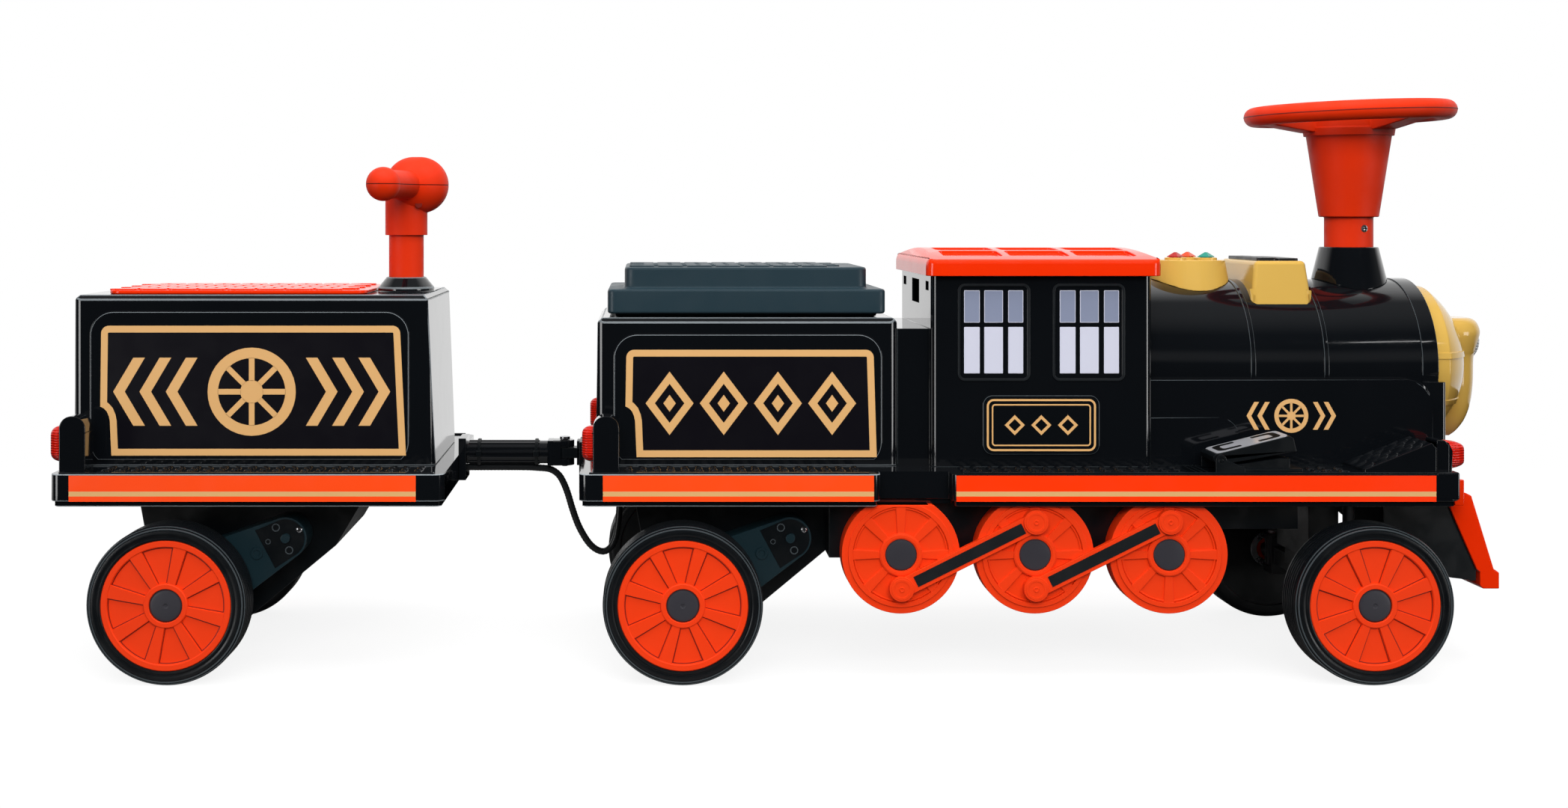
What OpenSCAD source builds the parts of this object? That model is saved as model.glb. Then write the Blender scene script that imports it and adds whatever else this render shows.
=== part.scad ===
// Ride-on electric steam train with a trailing wagon. +X is forward, +Y is left, +Z is up.
// The origin lies on the ground, under the middle of the train. All sizes are in millimetres.

/* [Train lengths] */
// Length of the wagon's deck
wagon_l = 493.5; // [440:0.5:560]
// Gap between the wagon's deck and the tender's deck
coupling_gap = 169; // [150:1:210]
// Length of the wide deck under the tender
tender_l = 378; // [350:1:440]
// Length of the narrow deck between the tender and the engine
neck_l = 89; // [80:1:110]
// Length of the wide deck under the engine
engine_l = 636; // [610:1:720]
// How far the headlamp stands in front of the engine's deck
nose_out = 115; // [110:1:130]
// How far a tail lens stands behind the deck
lens_out = 6.5; // [5:0.5:12]

/* [Wheels] */
// Radius of a road wheel over the tread
wheel_r = 100; // [95:1:106]
// Width of a tyre
tyre_w = 54; // [46:1:58]
// Distance from the middle of the train to the outer face of a tyre
track_half = 220; // [216:1:240]
// Radius of the red wheel disc
disc_r = 81; // [74:0.5:86]
// Radius of the raised ring round the hub
hub_r = 27.6; // [24:0.2:32]
// Radius of the round cap in the hub
cap_r = 20.4; // [16:0.2:22]
// Number of spokes on a disc
spokes = 8; // [6:1:12]
// Radius of the axles
axle_r = 6; // [5:0.5:8]
// From the wagon deck's rear edge to its axle
wagon_axle_in = 148.8; // [135:0.1:165]
// From the tender deck's rear edge to its axle
tender_axle_in = 129.8; // [120:0.1:140]
// From the engine deck's front edge back to the front axle
front_axle_in = 112; // [108:1:125]

/* [Decks] */
// How far a deck's side stands inside the tyres' outer faces
deck_in = 14; // [8:1:20]
// Width of the running board beside the wagon and tender boxes
board_w = 78; // [72:1:86]
// Height of the deck above the ground
deck_z = 262; // [256:1:275]
// Height of the deck's side
skirt_h = 41; // [36:1:44]
// Thickness of the deck's floor
deck_floor = 4; // [3:0.5:6]
// Thickness of moulded walls
wall = 3; // [2:0.5:4]
// How far the deck steps in at the neck
neck_step = 26; // [10:1:40]
// Height of the lower lip under the deck's side
lip_h = 7; // [5:0.5:9]
// How far the lower lip steps in
lip_in = 4; // [2:0.5:6]
// Radius of a deck's corners
deck_corner = 12; // [10:1:30]
// Radius of the deck's corners at the neck
neck_corner = 10; // [8:1:20]

/* [Wagon body] */
// From the deck's rear edge to the box
wagon_box_rear = 4.5; // [3:0.5:7]
// From the deck's front edge back to the box
wagon_box_front = 20; // [14:1:30]
// Height of the wagon box above the deck
wagon_box_h = 221; // [190:1:240]
// How far a box's rear leans in at the top
lean_rear = 5; // [0:0.2:8]
// How far the wagon box's front leans in at the top
wagon_lean = 12; // [0:0.5:14]
// How far the tender box's front leans in at the top
tender_lean = 3; // [0:0.5:10]
// Length of the red wagon seat
wagon_seat_l = 338; // [300:1:345]
// From the box's rear edge to the seat
wagon_seat_in = 38; // [34:1:44]
// How far the wagon seat stands in from the box's sides
wagon_seat_side = 22; // [18:1:36]
// Thickness of the wagon seat
wagon_seat_t = 5; // [3:0.5:8]
// From the wagon deck's front edge back to the handle post
post_in = 73.7; // [66:0.1:80]
// Radius of the handle post
post_r = 23.5; // [20:0.5:25]
// Height of the handle's seam above the ground
handle_z = 627; // [590:1:660]
// Half the span between the grip balls
grip_half_span = 105; // [90:1:120]
// How far the grips sweep back from the post
grip_sweep = 16.5; // [6:0.5:30]
// Radius of a grip ball
grip_ball_r = 22.4; // [20.5:0.1:26]
// Radius of a grip arm
grip_arm_r = 19; // [15:0.5:20]

/* [Tender and cab] */
// From the tender deck's rear edge to the box
tender_box_rear = 19; // [14:1:26]
// How far the tender box reaches over the neck
tender_box_over = 32; // [24:1:40]
// Height of the tender box above the deck
tender_box_h = 191.5; // [170:0.5:210]
// Thickness of each tread of the black tender seat
seat_step = 30; // [24:1:36]
// How far the seat's lower tread stands in from the box's sides
seat_side = 10; // [4:1:20]
// How far the seat's upper tread steps in
seat_inset = 22; // [14:1:28]
// How far the cab reaches back over the neck
cab_over = 15; // [10:1:24]
// Length of the cab
cab_l = 284.5; // [270:0.5:300]
// How far a cab side stands out past the boxes
cab_out = 10; // [4:1:16]
// Height of the cab above the deck
cab_h = 246; // [230:1:265]
// Height of the low link between tender and cab
link_h = 177; // [150:1:186]
// Thickness of the red roof seat
roof_t = 21; // [18:1:30]
// How far the roof stands out past the cab's sides
roof_out = 12; // [6:1:16]
// Length of a cab window
window_l = 86.7; // [70:0.1:96]
// Height of a cab window
window_h = 119.3; // [90:0.1:124]
// Depth of the window recess
window_deep = 1.5; // [1:0.25:2]

/* [Boiler] */
// Radius of the boiler
boiler_r = 112; // [104:1:116]
// Height of the boiler's axis above the ground
boiler_z = 387; // [382:1:394]
// How far the boiler reaches past the engine deck's front edge
boiler_out = 13; // [8:1:18]
// How far the saddle under the boiler stands in from the boxes' sides
saddle_side = 6; // [0:1:10]
// Height of the saddle above the deck
saddle_h = 110; // [90:1:118]
// Radius of the cream smokebox door
door_r = 103; // [95:0.5:104]
// Length of the door's straight rim
door_rim = 20; // [12:1:26]
// Height of the door's dome
door_dome = 52; // [46:1:66]
// From the boiler's rear end to the round pod's axis
button_pod_in = 87.5; // [80:0.5:94]
// Radius of the round pod at its top
button_pod_r = 47.5; // [44:0.5:50]
// From the boiler's rear end to the rear of the square pod
media_pod_in = 147; // [146:0.5:152]
// Length of the square pod at its foot
media_pod_l = 83; // [70:1:86]
// Half the width of the square pod at its foot
media_pod_half_w = 78; // [64:1:80]
// Height of the pods above the boiler's axis
pod_h = 138.6; // [132:0.2:146]
// Radius of a push button
button_r = 8; // [6:0.5:9]
// Travel of a push button
button_travel = 3; // [2:0.5:4]
// Radius of the headlamp lens
lens_r = 24; // [18:1:28]

/* [Steering] */
// How far the steering column stands ahead of the front axle
column_ahead = 51.7; // [50:0.1:54]
// Radius of the red sleeve of the column
sleeve_r = 31.5; // [28:0.5:34]
// Radius of the steel steering shaft
shaft_r = 8; // [6:0.5:10]
// Radius of the steering wheel
steer_r = 136; // [128:0.5:150]
// Radius of the steering wheel's rim section
rim_r = 13; // [10:0.5:15]
// Height of the steering wheel's middle
steer_z = 724.5; // [700:0.5:750]
// Tilt of the steering wheel towards the driver, in degrees
steer_tilt = 1.7; // [0:0.1:4]
// Length of the steering arms
arm_l = 40; // [36:1:42]
// From a front tyre's inner face in to the kingpin
kingpin_in = 21; // [18:1:26]
// Radius of a kingpin
kingpin_r = 5; // [4:0.5:6]

/* [Running gear] */
// Radius of a driving wheel trim
trim_r = 74.3; // [66:0.1:78]
// Distance between driving wheel trims
trim_pitch = 168.5; // [160:0.5:176]
// Height of the trims' hubs above the ground
trim_z = 159; // [152:1:164]
// Depth of the trims
trim_deep = 30; // [20:1:32]
// Throw of the crank pins
crank = 42; // [36:0.5:46]
// Width of a coupling rod
rod_w = 23.5; // [18:0.5:26]
// From the neck's rear end to the first trim's hub
trim_in = 26.5; // [22:0.5:32]
// Radius of a gear case round the axle
case_r = 52; // [46:1:56]
// Radius of a gear case round its motor
case_end_r = 27; // [24:1:30]
// Radius of a drive motor
motor_r = 18; // [14:1:20]
// Length of a drive motor
motor_l = 62; // [50:1:70]
// Length of the cowcatcher's foot
cow_foot = 25; // [18:1:30]
// Half the width of the cowcatcher
cow_half_w = 115; // [100:1:118]

/* [Coupling] */
// Radius of the drawbar
drawbar_r = 15.5; // [13:0.5:17]
// From the tender deck's rear edge back to the hitch pin
hitch_in = 26.5; // [25:0.5:32]
// Radius of the hitch pin
hitch_pin_r = 4; // [3:0.5:5]
// Radius of the hitch's ears
hitch_ear_r = 13; // [11:0.5:15]
// Diameter of the cable between wagon and tender
cable_d = 9.4; // [6:0.2:9.8]

/* [Pedal] */
// From the front axle back to the pedal's hinge
pedal_back = 186; // [180:1:192]
// Length of the pedal
pedal_l = 96; // [86:1:100]
// Width of the pedal
pedal_w = 54; // [44:1:56]
// Rise of the pedal at rest, in degrees
pedal_rise = 14; // [12:0.5:18]
// Radius of the pedal's trunnions
pedal_pin_r = 3; // [2.5:0.5:4]

/* [Fits] */
// Radial clearance of a turning or sliding fit
running = 0.05; // [0.02:0.01:0.09]
// Gap between faces that pass each other
pass_gap = 0.4; // [0.3:0.1:0.8]
// Radial clearance of the two open pivots of the steering linkage
open_fit = 0.3; // [0.2:0.1:0.5]

/* [Hidden] */
$fn = 64;

black = "#17181b";
soft_black = "#26282b";
red = "#e8401c";
cream = "#d9b45c";
steel = "#b8bcc0";

// Places along the train
total_l = lens_out + wagon_l + coupling_gap + tender_l + neck_l + engine_l + nose_out;
wagon_x0 = lens_out - total_l / 2;
wagon_x1 = wagon_x0 + wagon_l;
tender_x0 = wagon_x1 + coupling_gap;
tender_x1 = tender_x0 + tender_l;
engine_x0 = tender_x1 + neck_l;
engine_x1 = engine_x0 + engine_l;
nose_x = engine_x1 + nose_out;
wagon_axle_x = wagon_x0 + wagon_axle_in;
tender_axle_x = tender_x0 + tender_axle_in;
front_axle_x = engine_x1 - front_axle_in;
hitch_x = tender_x0 - hitch_in;
post_x = wagon_x1 - post_in;
cab_x0 = engine_x0 - cab_over;
cab_x1 = cab_x0 + cab_l;
boiler_x1 = engine_x1 + boiler_out;
column_x = front_axle_x + column_ahead;
button_pod_x = cab_x1 + button_pod_in;
media_pod_x0 = cab_x1 + media_pod_in;
media_pod_x1 = media_pod_x0 + media_pod_l;
trim_x = tender_x1 + trim_in;
pedal_x = front_axle_x - pedal_back;

// Heights
under_z = deck_z - deck_floor;
lip_z = deck_z - skirt_h;
wagon_top = deck_z + wagon_box_h;
tender_top = deck_z + tender_box_h;
cab_top = deck_z + cab_h;
saddle_top = deck_z + saddle_h;
pod_top = boiler_z + pod_h;

// Widths
wheel_in_y = track_half - tyre_w;
kingpin_y = wheel_in_y - kingpin_in;
case_gap = 4;
case_w = 44;
case_y = wheel_in_y - case_gap;
tub_half_w = case_y - case_w;
deck_half_w = track_half - deck_in;
box_half_w = deck_half_w - board_w;
cab_half_w = box_half_w + cab_out;
saddle_half_w = box_half_w - saddle_side;
seat_half_w = box_half_w - seat_side;
wagon_seat_half_w = box_half_w - wagon_seat_side;
frame_in = 41;
frame_half_w = deck_half_w - frame_in;
big = 4000;

// A 2D plate from corner to corner with four round corners
module round_plate(x0, x1, y0, y1, r) {
    translate([x0 + r, y0]) square([x1 - x0 - 2 * r, y1 - y0]);
    translate([x0, y0 + r]) square([x1 - x0, y1 - y0 - 2 * r]);
    for (x = [x0 + r, x1 - r], y = [y0 + r, y1 - r])
        translate([x, y]) circle(r);
}

// A level slab with round corners in plan
module slab(x0, x1, half_w, z0, z1, r) {
    translate([0, 0, z0]) linear_extrude(z1 - z0) round_plate(x0, x1, -half_w, half_w, r);
}

// A side view, drawn in X and Z, carried across the train from y0 to y1
module across(y0, y1) {
    translate([0, y1, 0]) rotate([90, 0, 0]) linear_extrude(y1 - y0) children();
}

// A front view, drawn in Y and Z, carried along the train from x0 to x1
module along(x0, x1) {
    translate([x0, 0, 0]) rotate([90, 0, 90]) linear_extrude(x1 - x0) children();
}

// A round bar along Y
module cross_bar(x, z, r, y0, y1) {
    translate([x, y1, z]) rotate([90, 0, 0]) cylinder(r = r, h = y1 - y0);
}

// A round bar along X
module long_bar(y, z, r, x0, x1) {
    translate([x0, y, z]) rotate([0, 90, 0]) cylinder(r = r, h = x1 - x0);
}

// An upright round bar
module post(x, y, r, z0, z1) {
    translate([x, y, z0]) cylinder(r = r, h = z1 - z0);
}

// Right side as drawn, left side mirrored
module both_sides() {
    children();
    mirror([0, 1, 0]) children();
}

// A piece drawn for the right side, shown on the right (-1) or the left (1)
module on_side(side) {
    mirror([0, side > 0 ? 1 : 0, 0]) children();
}

// Decks

lamp_y1 = deck_half_w - 14;
lamp_w = 34;
lamp_y0 = lamp_y1 - lamp_w;
tail_lamp_in = 7.5;
tail_lamp_l = 33;
tail_lamp_h = 71;
front_lamp_l = 24;
front_lamp_in = 8;
front_lamp_h = 41;

// A deck's outline, stepped in by the given amount
module wide_plan(x0, x1, inset) {
    round_plate(x0 + inset, x1 - inset, inset - deck_half_w, deck_half_w - inset, deck_corner - inset);
}

module loco_plan(inset) {
    neck_half_w = deck_half_w - neck_step - inset;
    w = deck_half_w - inset;
    wide_plan(tender_x0, tender_x1, inset);
    wide_plan(engine_x0, engine_x1, inset);
    for (x = [[tender_x1 - tender_l / 2, tender_x1 - inset], [engine_x0 + inset, engine_x0 + engine_l / 2]])
        round_plate(x[0], x[1], -w, w, neck_corner - inset);
    translate([tender_x1 - deck_corner - inset, -neck_half_w])
        square([neck_l + 2 * (deck_corner + inset), 2 * neck_half_w]);
}

// An open tray: floor, sides and a lower lip. child 0 is the outline, 1 the lip's, 2 the hollow's
module tray() {
    difference() {
        union() {
            translate([0, 0, lip_z + lip_h]) linear_extrude(skirt_h - lip_h) children(0);
            translate([0, 0, lip_z]) linear_extrude(lip_h) children(1);
        }
        translate([0, 0, lip_z - 1]) linear_extrude(skirt_h - deck_floor + 1) children(2);
    }
}

module tail_lamp_housing(deck_x0) {
    x0 = deck_x0 + tail_lamp_in;
    across(-lamp_y1, -lamp_y0) {
        round_plate(x0, x0 + tail_lamp_l, deck_z + tail_lamp_h / 2, deck_z + tail_lamp_h,
            tail_lamp_l / 2 - 1);
        translate([x0, deck_z]) square([tail_lamp_l, tail_lamp_h * 0.7]);
    }
}

module front_lamp_housing() {
    x0 = engine_x1 - front_lamp_l;
    x1 = engine_x1 - front_lamp_in;
    across(-lamp_y1, -lamp_y0)
        polygon([[x0, deck_z], [x1, deck_z], [x1, deck_z + front_lamp_h - 6],
            [x1 - 6, deck_z + front_lamp_h], [x0, deck_z + front_lamp_h]]);
}

wedge_l = 90;
wedge_h = 38;
wedge_gap = 4;
wedge_side = 10;

// A foot rest that rises to the front
module foot_wedge() {
    x1 = engine_x1 - front_lamp_l - 2;
    across(wedge_side - deck_half_w, -saddle_half_w - wedge_gap)
        polygon([[x1 - wedge_l, deck_z], [x1, deck_z], [x1, deck_z + wedge_h - 6],
            [x1 - 6, deck_z + wedge_h], [x1 - wedge_l, deck_z + 5]]);
}

module wagon_deck() {
    color(black) {
        tray() {
            wide_plan(wagon_x0, wagon_x1, 0);
            wide_plan(wagon_x0, wagon_x1, lip_in);
            wide_plan(wagon_x0, wagon_x1, lip_in + wall);
        }
        both_sides() tail_lamp_housing(wagon_x0);
    }
}

module loco_deck() {
    color(black) {
        difference() {
            tray() {
                loco_plan(0);
                loco_plan(lip_in);
                loco_plan(lip_in + wall);
            }
            post(column_x, 0, shaft_r + running, under_z - 1, deck_z + 1);
        }
        both_sides() {
            tail_lamp_housing(tender_x0);
            front_lamp_housing();
            foot_wedge();
        }
    }
}

lens_w = 26;
lens_h = 46;
lens_foot = 12;

// A tail lens: an upright pill on the rear of its housing
module tail_lens(deck_x0) {
    y = -(lamp_y0 + lamp_y1) / 2;
    z0 = deck_z + lens_foot;
    along(deck_x0 - lens_out, deck_x0 + tail_lamp_in)
        round_plate(y - lens_w / 2, y + lens_w / 2, z0, z0 + lens_h, lens_w / 2 - 0.5);
}

front_lens_h = 36;
front_lens_foot = 1;
front_lens_l = 21;

// A front lens: a pill on the front of its housing
module front_lens() {
    y = -(lamp_y0 + lamp_y1) / 2;
    x0 = engine_x1 - front_lamp_in;
    z0 = deck_z + front_lens_foot;
    along(x0, x0 + front_lens_l)
        round_plate(y - lens_w / 2, y + lens_w / 2, z0, z0 + front_lens_h, lens_w / 2 - 0.5);
}

module wagon_lenses() {
    color(red) both_sides() tail_lens(wagon_x0);
}

module marker_lenses() {
    color(red) both_sides() {
        tail_lens(tender_x0);
        front_lens();
    }
}

// Wagon and tender boxes

box_corner = 12;
box_edge = 6;
panel_in = 24;
wagon_panel_front = 34;
tender_panel_front = 21.5;
panel_top_in = 22;
panel_r = 30;
panel_step = 2;
panel_foot = 8;

// A box with leaning ends and bevelled upper edges, grown inwards by g
module box_form(x0, x1, h, lean, g) {
    z1 = deck_z + h - g;
    w = box_half_w - g;
    e = box_edge;
    intersection() {
        slab(x0 + g, x1 - g, w, deck_z - 1, z1, box_corner);
        across(-w - 1, w + 1)
            polygon([[x0 + g, deck_z - 1], [x1 - g, deck_z - 1], [x1 - g - lean + e / 2, z1 - e],
                [x1 - g - lean - e / 2, z1], [x0 + g + lean_rear + e / 2, z1],
                [x0 + g + lean_rear - e / 2, z1 - e]]);
        along(x0, x1)
            polygon([[-w, deck_z - 1], [w, deck_z - 1], [w, z1 - e], [w - e, z1], [e - w, z1], [-w, z1 - e]]);
    }
}

// The raised field that frames a box's side
module side_panel(x0, x1, h, front) {
    across(-box_half_w - panel_step, -box_half_w + 1)
        difference() {
            round_plate(x0 + panel_in, x1 - front, deck_z, deck_z + h - panel_top_in, panel_r);
            translate([x0, deck_z - 1]) square([x1 - x0, 1 + panel_foot]);
        }
}

// A moulded box, open below, with a raised field on each side
module box_shell(x0, x1, h, lean, front) {
    difference() {
        union() {
            box_form(x0, x1, h, lean, 0);
            both_sides() side_panel(x0, x1, h, front);
        }
        box_form(x0, x1, h, lean, wall);
        translate([x0 - 1, -big / 2, deck_z - 2]) cube([x1 - x0 + 2, big, 2]);
    }
}

wagon_box_x0 = wagon_x0 + wagon_box_rear;
wagon_box_x1 = wagon_x1 - wagon_box_front;
tender_box_x0 = tender_x0 + tender_box_rear;
tender_box_x1 = tender_x1 + tender_box_over;
collar_h = 19;
collar_r = 38;

// The wagon's box with the collar that the handle post stands in
module wagon_box() {
    color(black) difference() {
        union() {
            box_shell(wagon_box_x0, wagon_box_x1, wagon_box_h, wagon_lean, wagon_panel_front);
            post(post_x, 0, collar_r, wagon_top - wall, wagon_top + 5);
            translate([post_x, 0, wagon_top + 5])
                cylinder(r1 = collar_r, r2 = post_r + wall, h = collar_h - 5);
        }
        post(post_x, 0, post_r, deck_z - 1, wagon_top + collar_h + 1);
    }
}

module wagon_seat() {
    x0 = wagon_box_x0 + wagon_seat_in;
    color(red) slab(x0, x0 + wagon_seat_l, wagon_seat_half_w, wagon_top, wagon_top + wagon_seat_t, 18);
}

module tender_box() {
    color(black) box_shell(tender_box_x0, tender_box_x1, tender_box_h, tender_lean, tender_panel_front);
}

seat_plinth = 4.5;
seat_rear_in = 15;
seat_front_in = 14.5;

// The passenger's seat: a plinth and two treads, hollow from below
module tender_seat() {
    x0 = tender_box_x0 + seat_rear_in;
    x1 = tender_box_x1 - seat_front_in;
    z1 = tender_top + seat_plinth;
    upper_half_w = seat_half_w - seat_inset + 4;
    hollow_in = seat_inset + wall;
    color(soft_black) difference() {
        union() {
            slab(x0 + 10, x1 - 10, seat_half_w - 12, tender_top, z1 + 1, 12);
            slab(x0, x1, seat_half_w, z1, z1 + seat_step + 2, 10);
            slab(x0 + seat_inset, x1 - seat_inset, upper_half_w, z1 + seat_step, z1 + 2 * seat_step, 14);
        }
        slab(x0 + hollow_in, x1 - hollow_in, upper_half_w - wall, tender_top - 1,
            z1 + 2 * seat_step - wall, 11);
    }
}

// Wagon handle

sleeve_out = 5;
sleeve_bottom = 68;
head_r = 38.5;
head_half_l = 4.5;
head_ahead = 14.5;
head_x = post_x + head_ahead;
grip_x = post_x - grip_sweep;
handle_wall = 3;

// One arm of the handle, from its head to the grip ball, thinned by g
module grip_arm(g) {
    dx = grip_x - head_x;
    reach = sqrt(dx * dx + grip_half_span * grip_half_span);
    translate([head_x, 0, handle_z]) rotate([0, 0, atan2(-grip_half_span, dx)]) rotate([0, 90, 0])
        cylinder(r = grip_arm_r - g, h = reach);
    translate([grip_x, -grip_half_span, handle_z]) sphere(grip_ball_r - g);
}

module handle_form(g) {
    for (s = [-1, 1])
        translate([head_x + s * head_half_l, 0, handle_z]) sphere(head_r - g);
    long_bar(0, handle_z, head_r - g, head_x - head_half_l, head_x + head_half_l);
    both_sides() grip_arm(g);
}

// The two-part handle, hollow, with a socket for the post
module handle_shell() {
    difference() {
        union() {
            handle_form(0);
            post(post_x, 0, post_r + sleeve_out, handle_z - sleeve_bottom, handle_z - 10);
        }
        handle_form(handle_wall);
        post(post_x, 0, post_r, handle_z - sleeve_bottom - 1, handle_z - 8);
    }
}

module handle_lower_shell() {
    color(red) intersection() {
        handle_shell();
        translate([-big / 2, -big / 2, handle_z - big]) cube(big);
    }
}

module handle_upper_shell() {
    color(red) intersection() {
        handle_shell();
        translate([-big / 2, -big / 2, handle_z]) cube(big);
    }
}

module handle_post() {
    color(red) difference() {
        post(post_x, 0, post_r, deck_z, handle_z - 8);
        post(post_x, 0, post_r - wall, deck_z - 1, handle_z - 8 - wall);
    }
}

// Axles, tubs, gear cases and motors under the wagon and the tender

tub_bottom = 0.66 * wheel_r;
case_reach = [1.38, 0.74] * wheel_r;
tub_wall = 3;

// Side view of the tub that hangs round an axle, thinned by g
function tub_points(x, g) =
    let (u = wheel_r, top = g > 0 ? under_z - deck_floor : under_z)
    [[x - 0.68 * u + g, top], [x - 0.52 * u + g, 1.7 * u], [x - 0.3 * u + g, tub_bottom + g],
        [x + 0.85 * u, tub_bottom + g], [x + 1.5 * u - g / 2, 1.2 * u + g], [x + 1.95 * u - g, 1.57 * u + g],
        [x + 2.25 * u - g, 2.07 * u], [x + 2.29 * u - g, top]];

module axle_tub(x) {
    difference() {
        across(-tub_half_w, tub_half_w) polygon(tub_points(x, 0));
        across(tub_wall - tub_half_w, tub_half_w - tub_wall) polygon(tub_points(x, tub_wall));
        cross_bar(x, wheel_r, axle_r, -tub_half_w - 1, tub_half_w + 1);
        cross_bar(x + case_reach[0], wheel_r + case_reach[1], motor_r, -tub_half_w - 1, tub_half_w + 1);
    }
}

// Tear-drop outline of a gear case: two circles and their two outer tangents
module tear_drop(x, g) {
    d = norm(case_reach);
    lean = atan2(case_reach[1], case_reach[0]);
    spread = acos((case_r - case_end_r) / d);
    far = [x + case_reach[0], wheel_r + case_reach[1]];
    near = [x, wheel_r];
    function on(c, r, a) = [c[0] + r * cos(lean + a), c[1] + r * sin(lean + a)];
    translate(near) circle(case_r - g);
    translate(far) circle(case_end_r - g);
    polygon([on(near, case_r - g, -spread), on(far, case_end_r - g, -spread),
        on(far, case_end_r - g, spread), on(near, case_r - g, spread)]);
}

// A gear case on the right side of its tub, hollow towards the tub
module gearcase(x) {
    difference() {
        across(-case_y, -tub_half_w) tear_drop(x, 0);
        across(wall - case_y, wall + 1 - tub_half_w) tear_drop(x, wall);
        cross_bar(x, wheel_r, axle_r, -case_y - 1, -tub_half_w + 1);
    }
    difference() {
        cross_bar(x, wheel_r, axle_r + 8, -case_y, -tub_half_w);
        cross_bar(x, wheel_r, axle_r, -case_y - 1, -tub_half_w + 1);
    }
    cross_bar(x + case_reach[0], wheel_r + case_reach[1], 6, -case_y - 3, 1 - case_y);
}

module motor(x) {
    cross_bar(x + case_reach[0], wheel_r + case_reach[1], motor_r, -tub_half_w - 8, motor_l - tub_half_w);
    cross_bar(x + case_reach[0], wheel_r + case_reach[1], 4, -tub_half_w - 20, -tub_half_w);
}

axle_end_in = 6.3;

module axle(x) {
    cross_bar(x, wheel_r, axle_r, axle_end_in - track_half, track_half - axle_end_in);
}

module wagon_underframe() {
    color(soft_black) axle_tub(wagon_axle_x);
}

module wagon_axle() {
    color(steel) axle(wagon_axle_x);
}

module wagon_gearcases() {
    color(soft_black) both_sides() gearcase(wagon_axle_x);
}

module wagon_motors() {
    color(steel) both_sides() motor(wagon_axle_x);
}

module tender_axle() {
    color(steel) axle(tender_axle_x);
}

module tender_gearcases() {
    color(soft_black) both_sides() gearcase(tender_axle_x);
}

module tender_motors() {
    color(steel) both_sides() motor(tender_axle_x);
}

// Wheels

shoulder = 6;
grooves = 3;
groove_pitch = 11;
groove_w = 3;
groove_deep = 2.5;
rim_t = 7.4;
web_in = 7;
web_t = 8;
spoke_t = 3;
spoke_in_w = 9;
spoke_out_w = 18.5;
half_tyre = tyre_w / 2;

// Half section of a tyre: sidewalls, shoulders and a grooved tread
module tyre_section() {
    tread = [for (k = [(grooves - 1) / 2:-1:(1 - grooves) / 2])
        for (p = [[0, 0.5], [groove_deep, 0.5], [groove_deep, -0.5], [0, -0.5]])
            [wheel_r - p[0], k * groove_pitch + p[1] * groove_w]];
    polygon(concat(
        [[disc_r, 2 - half_tyre], [disc_r, half_tyre - 2], [disc_r + 3, half_tyre],
            [wheel_r - shoulder, half_tyre], [wheel_r, half_tyre - shoulder]],
        tread,
        [[wheel_r, shoulder - half_tyre], [wheel_r - shoulder, -half_tyre], [disc_r + 3, -half_tyre]]));
}

// Half section of a disc: rim, web and hub, with a sunk cap
module disc_section() {
    face = half_tyre - 1;
    rim_in = disc_r - rim_t;
    web_z1 = half_tyre - web_in;
    web_z0 = web_z1 - web_t;
    polygon([[0, face - 2], [cap_r, face - 2], [cap_r, face], [hub_r, face], [hub_r, web_z1],
        [rim_in, web_z1], [rim_in, face], [disc_r, face], [disc_r, 2 - half_tyre], [rim_in, 2 - half_tyre],
        [rim_in, web_z0], [hub_r, web_z0], [hub_r, -half_tyre], [0, -half_tyre]]);
}

module at_wheel(x, side) {
    on_side(side) translate([x, half_tyre - track_half, wheel_r]) rotate([90, 0, 0]) children();
}

module tyre(x, side) {
    color(soft_black) at_wheel(x, side) rotate_extrude() tyre_section();
}

module spoke_ring(count, r0, r1, w0, w1, z0, z1) {
    for (k = [0:count - 1])
        rotate(k * 360 / count) translate([0, 0, z0]) linear_extrude(z1 - z0)
            polygon([[r0, -w0 / 2], [r1, -w1 / 2], [r1, w1 / 2], [r0, w0 / 2]]);
}

module disc(x, side) {
    web_z1 = half_tyre - web_in;
    color(red) at_wheel(x, side) difference() {
        union() {
            rotate_extrude() disc_section();
            spoke_ring(spokes, hub_r - 1, disc_r - rim_t + 1, spoke_in_w, spoke_out_w, web_z1 - 1,
                web_z1 + spoke_t);
        }
        translate([0, 0, -half_tyre - 1])
            cylinder(r = axle_r + running, h = tyre_w - axle_end_in + pass_gap + 1);
    }
}

module wagon_tyre_right() { tyre(wagon_axle_x, -1); }
module wagon_disc_right() { disc(wagon_axle_x, -1); }
module wagon_tyre_left() { tyre(wagon_axle_x, 1); }
module wagon_disc_left() { disc(wagon_axle_x, 1); }
module tender_tyre_right() { tyre(tender_axle_x, -1); }
module tender_disc_right() { disc(tender_axle_x, -1); }
module tender_tyre_left() { tyre(tender_axle_x, 1); }
module tender_disc_left() { disc(tender_axle_x, 1); }
module front_tyre_right() { tyre(front_axle_x, -1); }
module front_disc_right() { disc(front_axle_x, -1); }
module front_tyre_left() { tyre(front_axle_x, 1); }
module front_disc_left() { disc(front_axle_x, 1); }

// Coupling: bracket and pin on the tender, drawbar on the wagon

drawbar_z = deck_z + 1;
hitch_half_h = 17;
tongue_half_h = 7;
hitch_plate_t = 6;
hitch_plate_half_w = 30;
hitch_plate_z0 = 210;
fork_root = 2;
fork_block = 8;
flange_t = 10;
flange_half_w = 26;

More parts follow.
